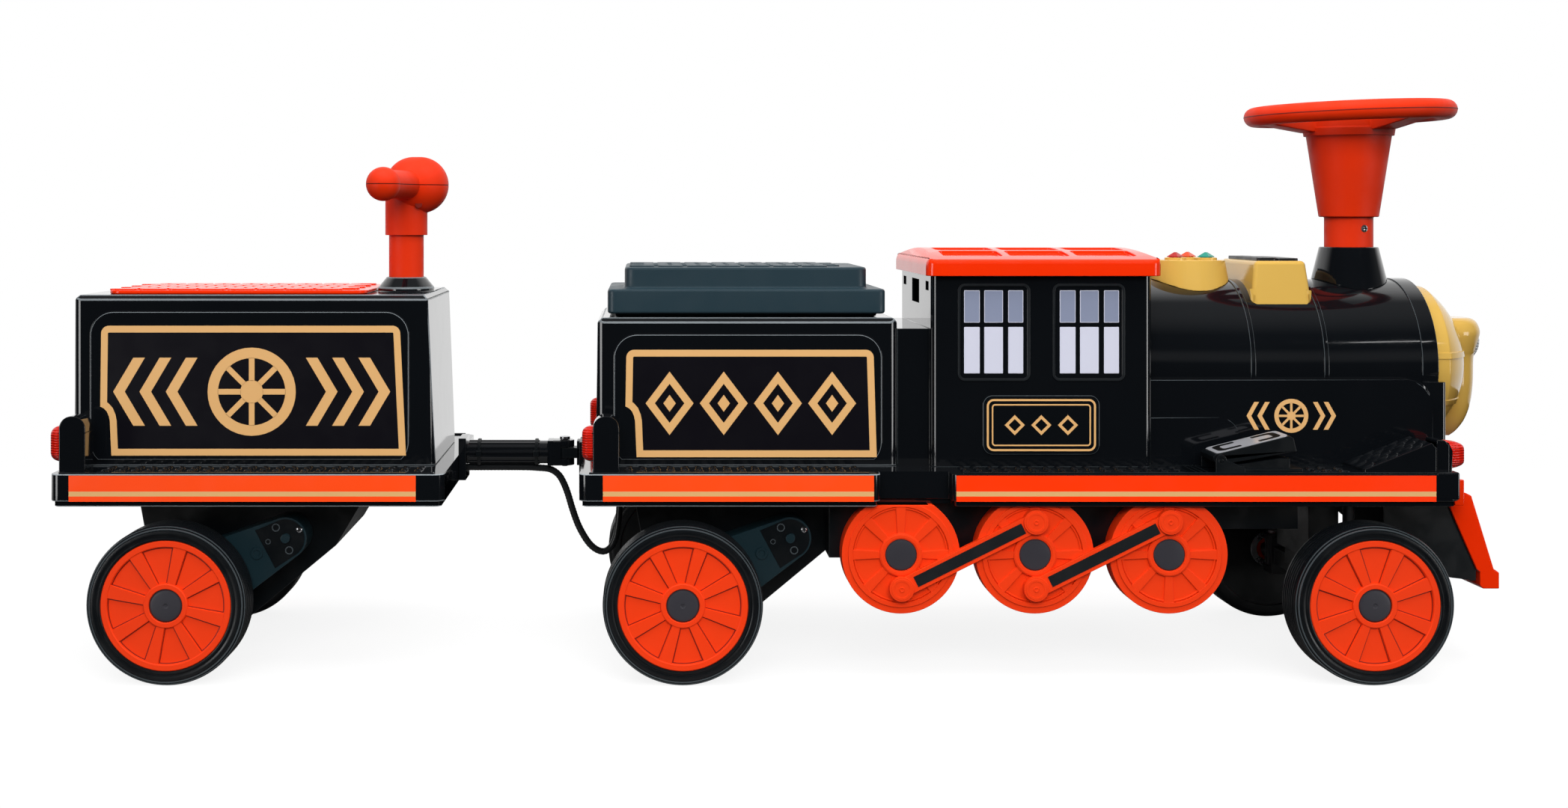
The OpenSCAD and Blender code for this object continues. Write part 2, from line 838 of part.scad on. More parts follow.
module hitch_bracket() {
    plate_x = tender_x0 - hitch_plate_t;
    color(soft_black) difference() {
        union() {
            translate([plate_x, -hitch_plate_half_w, hitch_plate_z0])
                cube([hitch_plate_t, 2 * hitch_plate_half_w, drawbar_z + hitch_half_h - hitch_plate_z0]);
            translate([hitch_x, -hitch_ear_r, drawbar_z - tongue_half_h])
                cube([plate_x - hitch_x + 1, 2 * hitch_ear_r, 2 * tongue_half_h]);
            post(hitch_x, 0, hitch_ear_r, drawbar_z - tongue_half_h, drawbar_z + tongue_half_h);
        }
        post(hitch_x, 0, hitch_pin_r, drawbar_z - 40, drawbar_z + 40);
    }
}

// Drawbar with a fork at the hitch and a flange on the wagon's deck
module drawbar() {
    root_x = hitch_x - hitch_ear_r - fork_root;
    color(black) difference() {
        union() {
            for (z = [[drawbar_z - hitch_half_h, drawbar_z - tongue_half_h - pass_gap],
                    [drawbar_z + tongue_half_h + pass_gap, drawbar_z + hitch_half_h]]) {
                post(hitch_x, 0, hitch_ear_r, z[0], z[1]);
                translate([root_x - 1, -hitch_ear_r, z[0]])
                    cube([hitch_x - root_x + 1, 2 * hitch_ear_r, z[1] - z[0]]);
            }
            translate([root_x - fork_block, -hitch_ear_r - 2, drawbar_z - hitch_half_h])
                cube([fork_block, 2 * hitch_ear_r + 4, 2 * hitch_half_h]);
            long_bar(0, drawbar_z, drawbar_r, wagon_x1, root_x - fork_block + 1);
            translate([wagon_x1, -flange_half_w, lip_z + lip_h])
                cube([flange_t, 2 * flange_half_w, drawbar_z + drawbar_r + 6 - lip_z - lip_h]);
        }
        post(hitch_x, 0, hitch_pin_r + running, drawbar_z - 40, drawbar_z + 40);
    }
}

pin_head_r = 7;
pin_head_t = 4;
fork_half_h = 27;
knuckle_half_h = 18;

// Hitch pin and the two kingpins, each with a head
module pivot_pins() {
    hitch_top = drawbar_z + hitch_half_h + pass_gap;
    king_top = wheel_r + fork_half_h;
    color(steel) {
        post(hitch_x, 0, hitch_pin_r, drawbar_z - hitch_half_h - 2, hitch_top + 1);
        post(hitch_x, 0, pin_head_r, hitch_top, hitch_top + pin_head_t);
        both_sides() {
            post(front_axle_x, -kingpin_y, kingpin_r, wheel_r - fork_half_h - 2, king_top + 1);
            post(front_axle_x, -kingpin_y, pin_head_r + 1, king_top, king_top + pin_head_t);
        }
    }
}

// Cable: along the drawbar, down in a loop and up into the tender. Places are [x, z] from the hitch pin
cable_gap = 0.3;
cable_run_z = drawbar_z - drawbar_r - cable_d / 2 - cable_gap;
cable_end_z = under_z;
cable_x0 = wagon_x1 + flange_t;
cable_loop = [[-60, 0], [-36, -1], [-20, -3], [-9, -10], [-2, -21], [4, -36], [10, -56], [17, -76],
    [25, -92], [34, -105], [44, -113], [54, -115], [63, -109], [69, -97], [72, -82], [74, -64], [75, -44],
    [75, -20]];
cable_sides = 10;

cable_mid = [for (p = cable_loop) [hitch_x + p[0], cable_run_z + p[1]]];
cable_path = concat([[cable_x0, cable_run_z]], cable_mid, [[hitch_x + 75, cable_end_z]]);

// A tube swept along points in the X-Z plane, square at both ends
function path_lean(path, i) =
    let (a = path[max(i - 1, 0)], b = path[min(i + 1, len(path) - 1)])
    atan2(b[1] - a[1], b[0] - a[0]);

module flat_path_tube(path, d, sides) {
    n = len(path);
    rings = [for (i = [0:n - 1]) let (lean = i == 0 ? 0 : (i == n - 1 ? 90 : path_lean(path, i)))
        for (k = [0:sides - 1]) let (a = 360 * k / sides, r = d / 2)
            [path[i][0] - r * cos(a) * sin(lean), r * sin(a), path[i][1] + r * cos(a) * cos(lean)]];
    walls = [for (i = [0:n - 2], k = [0:sides - 1])
        let (a = i * sides + k, b = i * sides + (k + 1) % sides)
        for (f = [[a, b, b + sides], [a, b + sides, a + sides]]) f];
    start_cap = [[for (k = [sides - 1:-1:0]) k]];
    end_cap = [[for (k = [0:sides - 1]) (n - 1) * sides + k]];
    polyhedron(rings, concat(walls, start_cap, end_cap));
}

module cable() {
    color(soft_black) flat_path_tube(cable_path, cable_d, cable_sides);
}

// Underframe of the engine and tender

box_front_l = 98;
box_front_half_w = frame_half_w - 15;
box_front_h = 37;
cradle_half_w = 60;
cradle_l = 40;
cradle_x1 = front_axle_x + 15;
spine_t = 12;
apron_in = 60;
apron_t = 6;
cow_top_x = engine_x1 + 23;
cow_foot_x = engine_x1 + 62;
cow_top_z = lip_z - 7;
cow_foot_z = wheel_r + 25;

module loco_underframe() {
    b_x0 = tender_axle_x + 1.87 * wheel_r;
    b_x1 = trim_x + 2 * trim_pitch + 40;
    c_x1 = b_x1 + box_front_l + 40;
    z_b = trim_z - 9;
    z_c = lip_z - box_front_h;
    tray_x1 = engine_x1 - lip_in - wall;
    color(soft_black) {
        difference() {
            union() {
                axle_tub(tender_axle_x);
                difference() {
                    translate([b_x0, -frame_half_w, z_b])
                        cube([b_x1 - b_x0, 2 * frame_half_w, under_z - z_b]);
                    translate([b_x0 + 60, wall - frame_half_w, z_b + wall])
                        cube([b_x1 - b_x0 - 60 - wall, 2 * (frame_half_w - wall), under_z - z_b]);
                    translate([b_x0 - 1, -tub_half_w - 1, z_b - 1])
                        cube([52, 2 * tub_half_w + 2, under_z - z_b - spine_t]);
                }
                difference() {
                    translate([b_x1 - 1, -box_front_half_w, z_c])
                        cube([c_x1 - b_x1 + 1, 2 * box_front_half_w, under_z - z_c]);
                    translate([b_x1 + wall, wall - box_front_half_w, z_c + wall])
                        cube([c_x1 - b_x1 - 2 * wall, 2 * (box_front_half_w - wall), under_z - z_c]);
                }
                translate([cradle_x1 - cradle_l, -cradle_half_w, wheel_r + fork_half_h])
                    cube([cradle_l, 2 * cradle_half_w, under_z - wheel_r - fork_half_h]);
                translate([c_x1 - 1, apron_t - cow_half_w, under_z - spine_t])
                    cube([tray_x1 - c_x1 + 1, 2 * (cow_half_w - apron_t), spine_t]);
                both_sides() across(-cow_half_w + 3, -cow_half_w + 3 + apron_t)
                    polygon([[engine_x1 - apron_in, under_z], [engine_x1 - apron_in + 2, lip_z - 36],
                        [engine_x1 + 28, cow_foot_z - 11], [cow_foot_x, cow_foot_z - 15],
                        [cow_foot_x, cow_foot_z],
                        [cow_top_x, cow_top_z], [tray_x1, cow_top_z], [tray_x1, under_z]]);
                across(-cow_half_w + 3, cow_half_w - 3)
                    polygon([[cow_top_x, cow_top_z], [cow_foot_x, cow_foot_z], [cow_foot_x, cow_foot_z - 15],
                        [cow_foot_x - 8, cow_foot_z - 15], [cow_foot_x - 8, cow_foot_z],
                        [cow_top_x - 8, cow_top_z]]);
            }
            post(column_x, 0, shaft_r + running, 0, deck_z);
        }
    }
}

// Cowcatcher: a shelf on the deck's front, sloping bars and a foot
cow_t = 30;
cow_bars = 7;
cow_slot_share = 0.42;

module cowcatcher() {
    pitch = 2 * cow_half_w / cow_bars;
    color(red) difference() {
        union() {
            across(-cow_half_w, cow_half_w)
                polygon([[engine_x1, cow_top_z + 8], [engine_x1, cow_top_z], [cow_top_x, cow_top_z],
                    [cow_foot_x, cow_foot_z], [cow_foot_x + 4, cow_foot_z - 3], [cow_foot_x + 4, wheel_r + 4],
                    [cow_foot_x + 8, wheel_r], [cow_foot_x + 4 + cow_foot, wheel_r],
                    [cow_foot_x + 4 + cow_foot, cow_foot_z - 4], [cow_foot_x + cow_foot - 3, cow_foot_z + 1],
                    [cow_top_x + cow_t + 2, cow_top_z + 7], [cow_top_x + cow_t - 6, cow_top_z + 11],
                    [cow_top_x + 12, cow_top_z + 11], [cow_top_x + 12, cow_top_z + 8]]);
            along(cow_top_x + 16, cow_top_x + 21)
                round_plate(-cow_half_w + 20, cow_half_w - 20, cow_top_z + 5, cow_top_z + 28, 4);
        }
        for (k = [1:cow_bars - 1])
            translate([cow_top_x - 20, -cow_half_w + k * pitch - pitch * cow_slot_share / 2, cow_foot_z + 8])
                cube([120, pitch * cow_slot_share, cow_top_z - cow_foot_z - 22]);
    }
}

// Driving wheel trims with their coupling rods

trim_hub_r = 27;
trim_cap_r = 20;
pin_boss_r = 15.5;
rod_t = 4;

module trim_section() {
    z = trim_deep;
    polygon([[0, z - 2], [trim_cap_r, z - 2], [trim_cap_r, z], [trim_hub_r, z], [trim_hub_r, z - 4],
        [trim_r - 14, z - 4], [trim_r - 14, z - 1], [trim_r - 8, z - 1], [trim_r - 8, z - 3], [trim_r, z - 3],
        [trim_r, 0], [trim_r - wall, 0], [trim_r - wall, z - 8], [0, z - 8]]);
}

// One side's moulding, drawn flat: X forward, Y up from the hubs, Z outwards
module trim_side() {
    for (k = [0:2])
        translate([k * trim_pitch, 0, 0]) {
            rotate_extrude() trim_section();
            spoke_ring(8, trim_hub_r - 1, trim_r - 13, 9, 13, trim_deep - 5, trim_deep - 1.5);
        }
    rod_lean = atan2(2 * crank, trim_pitch);
    rod_l = norm([2 * crank, trim_pitch]);
    for (k = [0:1])
        translate([k * trim_pitch, -crank, trim_deep - 5]) {
            rotate(rod_lean) translate([0, -rod_w / 2, 0]) cube([rod_l, rod_w, 5 + rod_t]);
            for (p = [[0, 0], [trim_pitch, 2 * crank]])
                translate(p) cylinder(r = pin_boss_r, h = 5 + rod_t + 3);
        }
}

// The trims are cut off level under the deck's lip
module wheel_trims() {
    color(red) both_sides() intersection() {
        translate([trim_x, -frame_half_w, trim_z]) rotate([90, 0, 0]) trim_side();
        translate([-big / 2, -big / 2, lip_z - big]) cube(big);
    }
}

// Cab and roof seat

cab_corner = 10;
window_z0 = 113.7;
window_in = 36.8;
window_pitch = 122.2;
plate_in = 66;
plate_l = 149.5;
plate_h = 76;
plate_z0 = 16;
plate_t = 2;
grip_w = 64;
grip_h = 32;
grip_down = 8;
notch_y = 100;
notch_w = 26;
notch_h = 12;

// A cut through the cab's rear wall, h high below the roof
module rear_cut(y, w, h) {
    z1 = cab_top - grip_down;
    translate([cab_x0 - 1, y - w / 2, z1 - h]) cube([wall + 2, w, h]);
}

module window_recess(k) {
    x0 = cab_x0 + window_in + k * window_pitch;
    z0 = deck_z + window_z0;
    across(-cab_half_w - 1, -cab_half_w + window_deep)
        round_plate(x0, x0 + window_l, z0, z0 + window_h, 6);
}

module name_boss() {
    x0 = cab_x0 + plate_in;
    z0 = deck_z + plate_z0;
    across(-cab_half_w - plate_t, -cab_half_w + 1) round_plate(x0, x0 + plate_l, z0, z0 + plate_h, 12);
}

// The cab with the low link to the tender, open below
module cab_shell() {
    link_x0 = tender_box_x1;
    link_w = box_half_w - 8;
    color(black) difference() {
        union() {
            slab(cab_x0, cab_x1, cab_half_w, deck_z, cab_top, cab_corner);
            both_sides() name_boss();
            translate([link_x0, -link_w, deck_z]) cube([cab_x0 - link_x0 + 20, 2 * link_w, link_h]);
        }
        slab(cab_x0 + wall, cab_x1 - wall, cab_half_w - wall, deck_z - 1, cab_top - wall, cab_corner - wall);
        translate([link_x0 + wall, wall - link_w, deck_z - 1])
            cube([cab_x0 - link_x0 + 20, 2 * (link_w - wall), link_h - wall + 1]);
        both_sides() for (k = [0, 1]) window_recess(k);
        rear_cut(0, grip_w, grip_h);
        both_sides() rear_cut(notch_y, notch_w, notch_h);
    }
}

roof_rear = 7.5;
roof_front = 10.5;
roof_edge = 4;
roof_end = 14;
roof_crown = 13;
crown_steps = 6;
roof_rows = 4;
roof_columns = 3;
roof_border = 26;
roof_rib = 10;
roof_slot_deep = 4;

// Cross-section under a crowned surface of half width w that rises to z2
function crown_points(w, z2) =
    concat([[w, deck_z], [-w, deck_z]],
        [for (i = [-crown_steps:crown_steps])
            [w * i / crown_steps, z2 - roof_crown * pow(i / crown_steps, 2)]]);

// The crowned roof that the driver sits on, with rows of sunk fields between ribs
module cab_roof_seat() {
    x0 = cab_x0 - roof_rear;
    x1 = cab_x1 + roof_front;
    w = cab_half_w + roof_out;
    z1 = cab_top + roof_t;
    z2 = z1 + roof_crown;
    field_l = (x1 - x0 - 2 * roof_border - (roof_columns - 1) * roof_rib) / roof_columns;
    field_w = (2 * w - 2 * roof_border - (roof_rows - 1) * roof_rib) / roof_rows;
    color(red) difference() {
        intersection() {
            slab(x0, x1, w, cab_top, z2, 14);
            across(-w - 1, w + 1)
                polygon([[x0 - 1, cab_top - 1], [x1 + 1, cab_top - 1], [x1 + 1, z1 - roof_edge],
                    [x1 - roof_end, z2], [x0 + roof_end, z2], [x0 - 1, z1 - roof_edge]]);
            along(x0 - 1, x1 + 1) polygon(crown_points(w, z2));
        }
        difference() {
            for (i = [0:roof_columns - 1], j = [0:roof_rows - 1])
                translate([x0 + roof_border + i * (field_l + roof_rib), roof_border - w, z1 - roof_slot_deep])
                    translate([0, j * (field_w + roof_rib), 0])
                        linear_extrude(big) round_plate(0, field_l, 0, field_w, 8);
            along(x0, x1) polygon(crown_points(w, z2 - roof_slot_deep));
        }
        slab(cab_x0 + cab_corner, cab_x1 - cab_corner, cab_half_w - cab_corner, cab_top - 1,
            z1 - roof_slot_deep - wall, cab_corner);
    }
}

// Boiler, smokebox door and headlamp

band_w = 6;
band_t = 1.5;
band_in = [138.5, 234];
front_ring = 21;
door_collar = 9;
cheek_out = 4;
cheek_low = 3;
saddle_short = 11.5;
saddle_nose_r = 30;

// Boiler and saddle, thinned by g
module boiler_form(g) {
    long_bar(0, boiler_z, boiler_r - g, cab_x1 + g, boiler_x1 - g);
    intersection() {
        slab(cab_x1 + g, boiler_x1 - saddle_short - g, saddle_half_w - g, deck_z - 1, saddle_top - g, 14);
        across(-saddle_half_w, saddle_half_w)
            round_plate(cab_x1 - saddle_nose_r, boiler_x1 - saddle_short - g, deck_z - 2 * saddle_nose_r,
                saddle_top - g, saddle_nose_r);
    }
}

// The cheeks that flank the door's lower half, thinned by g
module door_cheeks(g) {
    slab(boiler_x1 - front_ring + g, boiler_x1 + (g > 0 ? -g : door_collar), boiler_r + cheek_out - g,
        deck_z + 5 - g, saddle_top - cheek_low - g, 5 - g);
}

// The two raised bands and the ring at the front
module boiler_bands() {
    for (x = band_in)
        long_bar(0, boiler_z, boiler_r + band_t, cab_x1 + x - band_w / 2, cab_x1 + x + band_w / 2);
    long_bar(0, boiler_z, boiler_r + band_t, boiler_x1 - front_ring, boiler_x1);
}

module boiler_shell() {
    color(black) difference() {
        union() {
            boiler_form(0);
            boiler_bands();
            door_cheeks(0);
        }
        boiler_form(wall);
        door_cheeks(wall);
        long_bar(0, boiler_z, door_r + 1, boiler_x1, boiler_x1 + door_collar + 1);
        translate([cab_x1 - 1, -big / 2, deck_z - 2]) cube([boiler_x1 - cab_x1 + 2, big, 2]);
        post(column_x, 0, sleeve_r + 4, boiler_z, boiler_z + big);
    }
}

dome_rho = (door_r * door_r + door_dome * door_dome) / (2 * door_dome);

// A half section, drawn in radius and length, spun about a line along X
module spun_forward(x, z) {
    translate([x, 0, z]) rotate([0, 90, 0]) rotate_extrude() children();
}

// Half section of the dome in front of the boiler, thinned by g and started at length y0
module door_half(g, y0) {
    intersection() {
        translate([0, door_rim + door_dome - dome_rho]) circle(dome_rho - g);
        translate([0, y0]) square([door_r - g, big]);
    }
}

module smokebox_door() {
    color(cream) spun_forward(boiler_x1, boiler_z) difference() {
        door_half(0, 0);
        door_half(wall, -1);
    }
}

hood_axis_in = 40.5;
lamp_z = 28;
lamp_in = 16;
lens_seat = 5;
lens_crown = 11;
lens_rho = (lens_r * lens_r + lens_crown * lens_crown) / (2 * lens_crown);

// Half of the hood's front view, from its upright axis outwards: wide at the lamp, drawn in below
module hood_half() {
    polygon([[0, 60], [28, 60], [36, 54], [hood_axis_in, 42], [39, 30], [35, 16], [32.3, 5], [31.5, -29],
        [28, -57], [21, -78], [11, -93], [0, -102]]);
}

// The hood that stands out of the door, round in plan at every height
module headlamp_hood() {
    axis_x = nose_x - hood_axis_in;
    color(cream) difference() {
        union() {
            translate([axis_x, 0, boiler_z]) rotate_extrude() hood_half();
            along(boiler_x1 + door_rim, axis_x) translate([0, boiler_z]) {
                hood_half();
                mirror([1, 0]) hood_half();
            }
        }
        spun_forward(boiler_x1, boiler_z) door_half(0, 0);
        long_bar(0, boiler_z + lamp_z, lens_r, nose_x - lamp_in, nose_x + 1);
    }
}

// A clear lens with a domed front that reaches the train's nose
module headlamp_lens() {
    color("#dfe6ea") spun_forward(nose_x - lamp_in, boiler_z + lamp_z) difference() {
        intersection() {
            translate([0, lamp_in - lens_rho]) circle(lens_rho);
            square([lens_r, lamp_in]);
        }
        translate([0, -1]) square([lens_r - wall, lens_seat + 1]);
    }
}

// Pods on the boiler and their buttons

pod_flare = 14;
pod_wall = 4;
button_stand = 7.4;
button_flange = 1.5;
button_flange_t = 4;
button_places = [[-20, -8], [4, 17], [21, -10]];

// What the pods and the funnel base sit on
module boiler_cut() {
    long_bar(0, boiler_z, boiler_r, cab_x1, boiler_x1);
    boiler_bands();
}

module button_pod() {
    z0 = boiler_z + boiler_r - 50;
    h = pod_top - z0;
    color(cream) difference() {
        translate([button_pod_x, 0, z0]) cylinder(r1 = button_pod_r + pod_flare, r2 = button_pod_r, h = h);
        boiler_cut();
        translate([button_pod_x, 0, z0 - pod_wall])
            cylinder(r1 = button_pod_r + pod_flare - pod_wall, r2 = button_pod_r - pod_wall, h = h);
        for (p = button_places)
            post(button_pod_x + p[0], p[1], button_r + running, pod_top - 2 * pod_wall, pod_top + 1);
    }
}

module push_button(k) {
    p = button_places[k];
    z1 = pod_top - pod_wall - pass_gap;
    post(button_pod_x + p[0], p[1], button_r, z1 - button_flange_t, pod_top + button_stand);
    post(button_pod_x + p[0], p[1], button_r + button_flange, z1 - button_flange_t, z1);
}

module red_button() { color("#d8261c") push_button(0); }
module amber_button() { color("#e0542a") push_button(1); }
module green_button() { color("#1f9a86") push_button(2); }

media_lean = 8;

module media_pod() {
    z0 = boiler_z + boiler_r - 40;
    x0 = media_pod_x0;
    x1 = media_pod_x1;
    w = media_pod_half_w;
    color(cream) difference() {
        intersection() {
            across(-w, w)
                polygon([[x0, z0], [x1, z0], [x1 - media_lean, pod_top], [x0 + media_lean, pod_top]]);
            along(x0, x1)
                polygon([[-w, z0], [w, z0], [w - media_lean, pod_top], [media_lean - w, pod_top]]);
            slab(x0, x1, w, z0, pod_top, 14);
        }
        boiler_cut();
    }
}

panel_in_edge = 6;
panel_t = 4;

module media_panel() {
    inset = media_lean + panel_in_edge;
    color(soft_black) slab(media_pod_x0 + inset, media_pod_x1 - inset, media_pod_half_w - inset, pod_top,
        pod_top + panel_t, 6);
}

// Funnel base and steering

funnel_z0 = 72;
funnel_z1 = 156;
funnel_bottom_r = 58;
funnel_top_r = 38;
sleeve_z0 = 118;
cone_z0 = 196.6;
cone_z1 = 311;
cone_bottom_r = 38.5;
cone_top_r = 55.5;
shaft_short = 20;
shaft_boss = 6;
arm_z0 = wheel_r - 16;
arm_t = 10;
arm_half_w = 8;
arm_pin_r = 4;
rod_gap = 2;
tie_t = 10;

module funnel_base() {
    color(black) difference() {
        translate([column_x, 0, boiler_z + funnel_z0])
            cylinder(r1 = funnel_bottom_r, r2 = funnel_top_r, h = funnel_z1 - funnel_z0);
        boiler_cut();
        post(column_x, 0, sleeve_r + running, boiler_z, boiler_z + funnel_z1 + 1);
    }
}

// A steering arm that points forward, with its pin pointing down
module steering_arm(x, y) {
    translate([x, y - arm_half_w, arm_z0]) cube([arm_l, 2 * arm_half_w, arm_t]);
    post(x + arm_l, y, arm_half_w, arm_z0, arm_z0 + arm_t);
    post(x + arm_l, y, arm_pin_r, arm_z0 - rod_gap - tie_t - 2, arm_z0 + 1);
}

module steering_shaft() {
    color(steel) {
        post(column_x, 0, shaft_r, arm_z0, boiler_z + cone_z1 - shaft_short);
        post(column_x, 0, shaft_r + 5, arm_z0, arm_z0 + arm_t);
        steering_arm(column_x, 0);
    }
}

// The red sleeve and funnel cone that carry the steering wheel
module steering_cone() {
    color(red) difference() {
        union() {
            post(column_x, 0, sleeve_r, boiler_z + sleeve_z0, boiler_z + cone_z0 + 1);
            translate([column_x, 0, boiler_z + cone_z0])
                cylinder(r1 = cone_bottom_r, r2 = cone_top_r, h = cone_z1 - cone_z0);
        }
        difference() {
            translate([column_x, 0, boiler_z + cone_z0 + wall])
                cylinder(r1 = cone_bottom_r - wall, r2 = cone_top_r - wall, h = cone_z1 - cone_z0);
            post(column_x, 0, shaft_r + shaft_boss, boiler_z, boiler_z + cone_z1 - shaft_short + wall);
        }
        post(column_x, 0, shaft_r, 0, boiler_z + cone_z1 - shaft_short);
    }
}

steer_hub_r = 58;
steer_hub_up = 6;
steer_spokes = 3;
steer_spoke_w = 46;
steer_dish = 24;
spoke_up = 7;
spoke_down = 10;

// A tilted rim on spokes that dish down to the hub
module steering_wheel() {
    ring_r = steer_r - rim_r;
    color(red) difference() {
        union() {
            translate([column_x, 0, steer_z]) rotate([0, -steer_tilt, 0]) {
                rotate_extrude() translate([ring_r, 0]) circle(rim_r);
                for (k = [0:steer_spokes - 1])
                    rotate(60 + k * 360 / steer_spokes) across(-steer_spoke_w / 2, steer_spoke_w / 2)
                        polygon([[0, -steer_dish], [steer_hub_r, -steer_dish], [ring_r, -spoke_down],
                            [ring_r, spoke_up], [0, spoke_up]]);
            }
            post(column_x, 0, steer_hub_r, boiler_z + cone_z1, steer_z + steer_hub_up);
        }
        post(column_x, 0, steer_hub_r - 2 * wall, boiler_z + cone_z1 - 1, steer_z - spoke_down);
    }
}

beam_half_l = 14;
web_half_l = 10;
web_half_h = 12;
fork_deep = 20;
fork_t = 12;

module front_axle_beam() {
    z = wheel_r;
    x = front_axle_x;
    y_end = kingpin_y - fork_deep;
    ear = beam_half_l;
    color(steel) difference() {
        union() {
            translate([x - web_half_l, -y_end, z - web_half_h])
                cube([2 * web_half_l, 2 * y_end, 2 * web_half_h]);
            translate([x - ear, -cradle_half_w, z]) cube([2 * ear, 2 * cradle_half_w, fork_half_h]);
            both_sides() {
                translate([x - ear, -y_end, z - fork_half_h]) cube([2 * ear, fork_t, 2 * fork_half_h]);
                for (z0 = [z - fork_half_h, z + knuckle_half_h + pass_gap]) {
                    ear_t = fork_half_h - knuckle_half_h - pass_gap;
                    post(x, -kingpin_y, ear, z0, z0 + ear_t);
                    translate([x - ear, -kingpin_y, z0]) cube([2 * ear, kingpin_y - y_end + 1, ear_t]);
                }
            }
        }
        both_sides() post(x, -kingpin_y, kingpin_r, 0, deck_z);
    }
}

// Steering knuckle of the right side: boss, stub axle and arm
module knuckle(side) {
    color(steel) on_side(side) difference() {
        union() {
            post(front_axle_x, -kingpin_y, kingpin_r + 7, wheel_r - knuckle_half_h, wheel_r + knuckle_half_h);
            cross_bar(front_axle_x, wheel_r, axle_r, axle_end_in - track_half, -kingpin_y);
            cross_bar(front_axle_x, wheel_r, axle_r + 6, pass_gap + 1 - wheel_in_y, -kingpin_y);
            steering_arm(front_axle_x, -kingpin_y);
        }
        post(front_axle_x, -kingpin_y, kingpin_r + running, 0, deck_z);
    }
}

module knuckle_right() { knuckle(-1); }
module knuckle_left() { knuckle(1); }

// Tie rod: an eye at each knuckle arm and a lug with an eye at the column's arm
module tie_rod() {
    z1 = arm_z0 - rod_gap;
    z0 = z1 - tie_t;
    x = front_axle_x + arm_l;
    color(steel) difference() {
        union() {
            for (y = [-kingpin_y, kingpin_y]) post(x, y, arm_pin_r + 5, z0, z1);
            post(column_x + arm_l, 0, arm_pin_r + 5, z0, z1);
            translate([x - 5, -kingpin_y, z0]) cube([10, 2 * kingpin_y, tie_t]);
            translate([x, -6, z0]) cube([column_x + arm_l - x, 12, tie_t]);
        }
        post(x, kingpin_y, arm_pin_r + running, 0, deck_z);
        post(x, -kingpin_y, arm_pin_r + open_fit, 0, deck_z);
        post(column_x + arm_l, 0, arm_pin_r + open_fit, 0, deck_z);
    }
}

// Accelerator pedal on the right running board

pedal_side = 36;
pedal_y = deck_half_w - pedal_side;
pedal_hinge_z = deck_z + 17;
pedal_t = 8;
ear_t = 4;
base_l = 77;
base_foot_l = 92;
base_foot_h = 6;
skirt_t = 3;
skirt_gap = 1;
skirt_heel = 7;
skirt_toe = 13.4;

module pedal_base() {
    y0 = -pedal_y - pedal_w / 2;
    y1 = -pedal_y + pedal_w / 2;
    x0 = pedal_x;
    color(soft_black) difference() {
        union() {
            across(y0 + skirt_t + skirt_gap, y1 - skirt_t - skirt_gap)
                polygon([[x0 + 12, deck_z], [x0 + 12 + base_l, deck_z], [x0 + 12 + base_l, deck_z + 18],
                    [x0 + base_l, deck_z + 19], [x0 + 12, deck_z + 9]]);
            across(y0, y1)
                translate([x0 + 12, deck_z]) square([base_foot_l, base_foot_h]);
            for (y = [y0 - ear_t - pass_gap, y1 + pass_gap])
                across(y, y + ear_t) {
                    translate([x0, pedal_hinge_z]) circle(pedal_pin_r + 4);
                    polygon([[x0 - pedal_pin_r - 4, pedal_hinge_z], [x0 - pedal_pin_r - 4, deck_z],
                        [x0 + 30, deck_z], [x0 + 30, deck_z + 8], [x0 + pedal_pin_r + 4, pedal_hinge_z]]);
                }
            across(y0 - ear_t - pass_gap, y1 + ear_t + pass_gap)
                polygon([[x0 + 12, deck_z], [x0 + 30, deck_z], [x0 + 30, deck_z + 8], [x0 + 12, deck_z + 5]]);
        }
        cross_bar(x0, pedal_hinge_z, pedal_pin_r + running, y0 - 20, y1 + 20);
    }
}

// The pedal turns on its trunnions at the heel and rises to the front
module pedal_plate() {
    y0 = -pedal_y - pedal_w / 2;
    y1 = -pedal_y + pedal_w / 2;
    color(soft_black) {
        translate([pedal_x, 0, pedal_hinge_z]) rotate([0, -pedal_rise, 0]) {
            across(y0, y1) {
                polygon([[-8, -1], [-8, pedal_t - 2], [-4, pedal_t], [pedal_l - 4, pedal_t],
                    [pedal_l, pedal_t - 4], [pedal_l, 0], [4, 0], [0, -4]]);
                translate([pedal_l - skirt_t, -skirt_toe]) square([skirt_t, skirt_toe + 1]);
            }
            for (y = [y0, y1 - skirt_t])
                across(y, y + skirt_t)
                    polygon([[4, -skirt_heel], [pedal_l, -skirt_toe], [pedal_l, 1], [4, 1]]);
        }
        cross_bar(pedal_x, pedal_hinge_z, pedal_pin_r, y0 - ear_t - pass_gap, y1 + ear_t + pass_gap);
    }
}

// Battery in the tender

battery_l = 180;
battery_half_w = 62;
battery_h = 98;
battery_in = 118;
terminal_in = 24;
terminal_y = 20;

module battery() {
    x0 = tender_x0 + battery_in;
    color("#55585c") {
        slab(x0, x0 + battery_l, battery_half_w, deck_z, deck_z + battery_h, 6);
        for (y = [-terminal_y, terminal_y])
            post(x0 + battery_l - terminal_in, y, 7, deck_z + battery_h - 1, deck_z + battery_h + 9);
    }
}

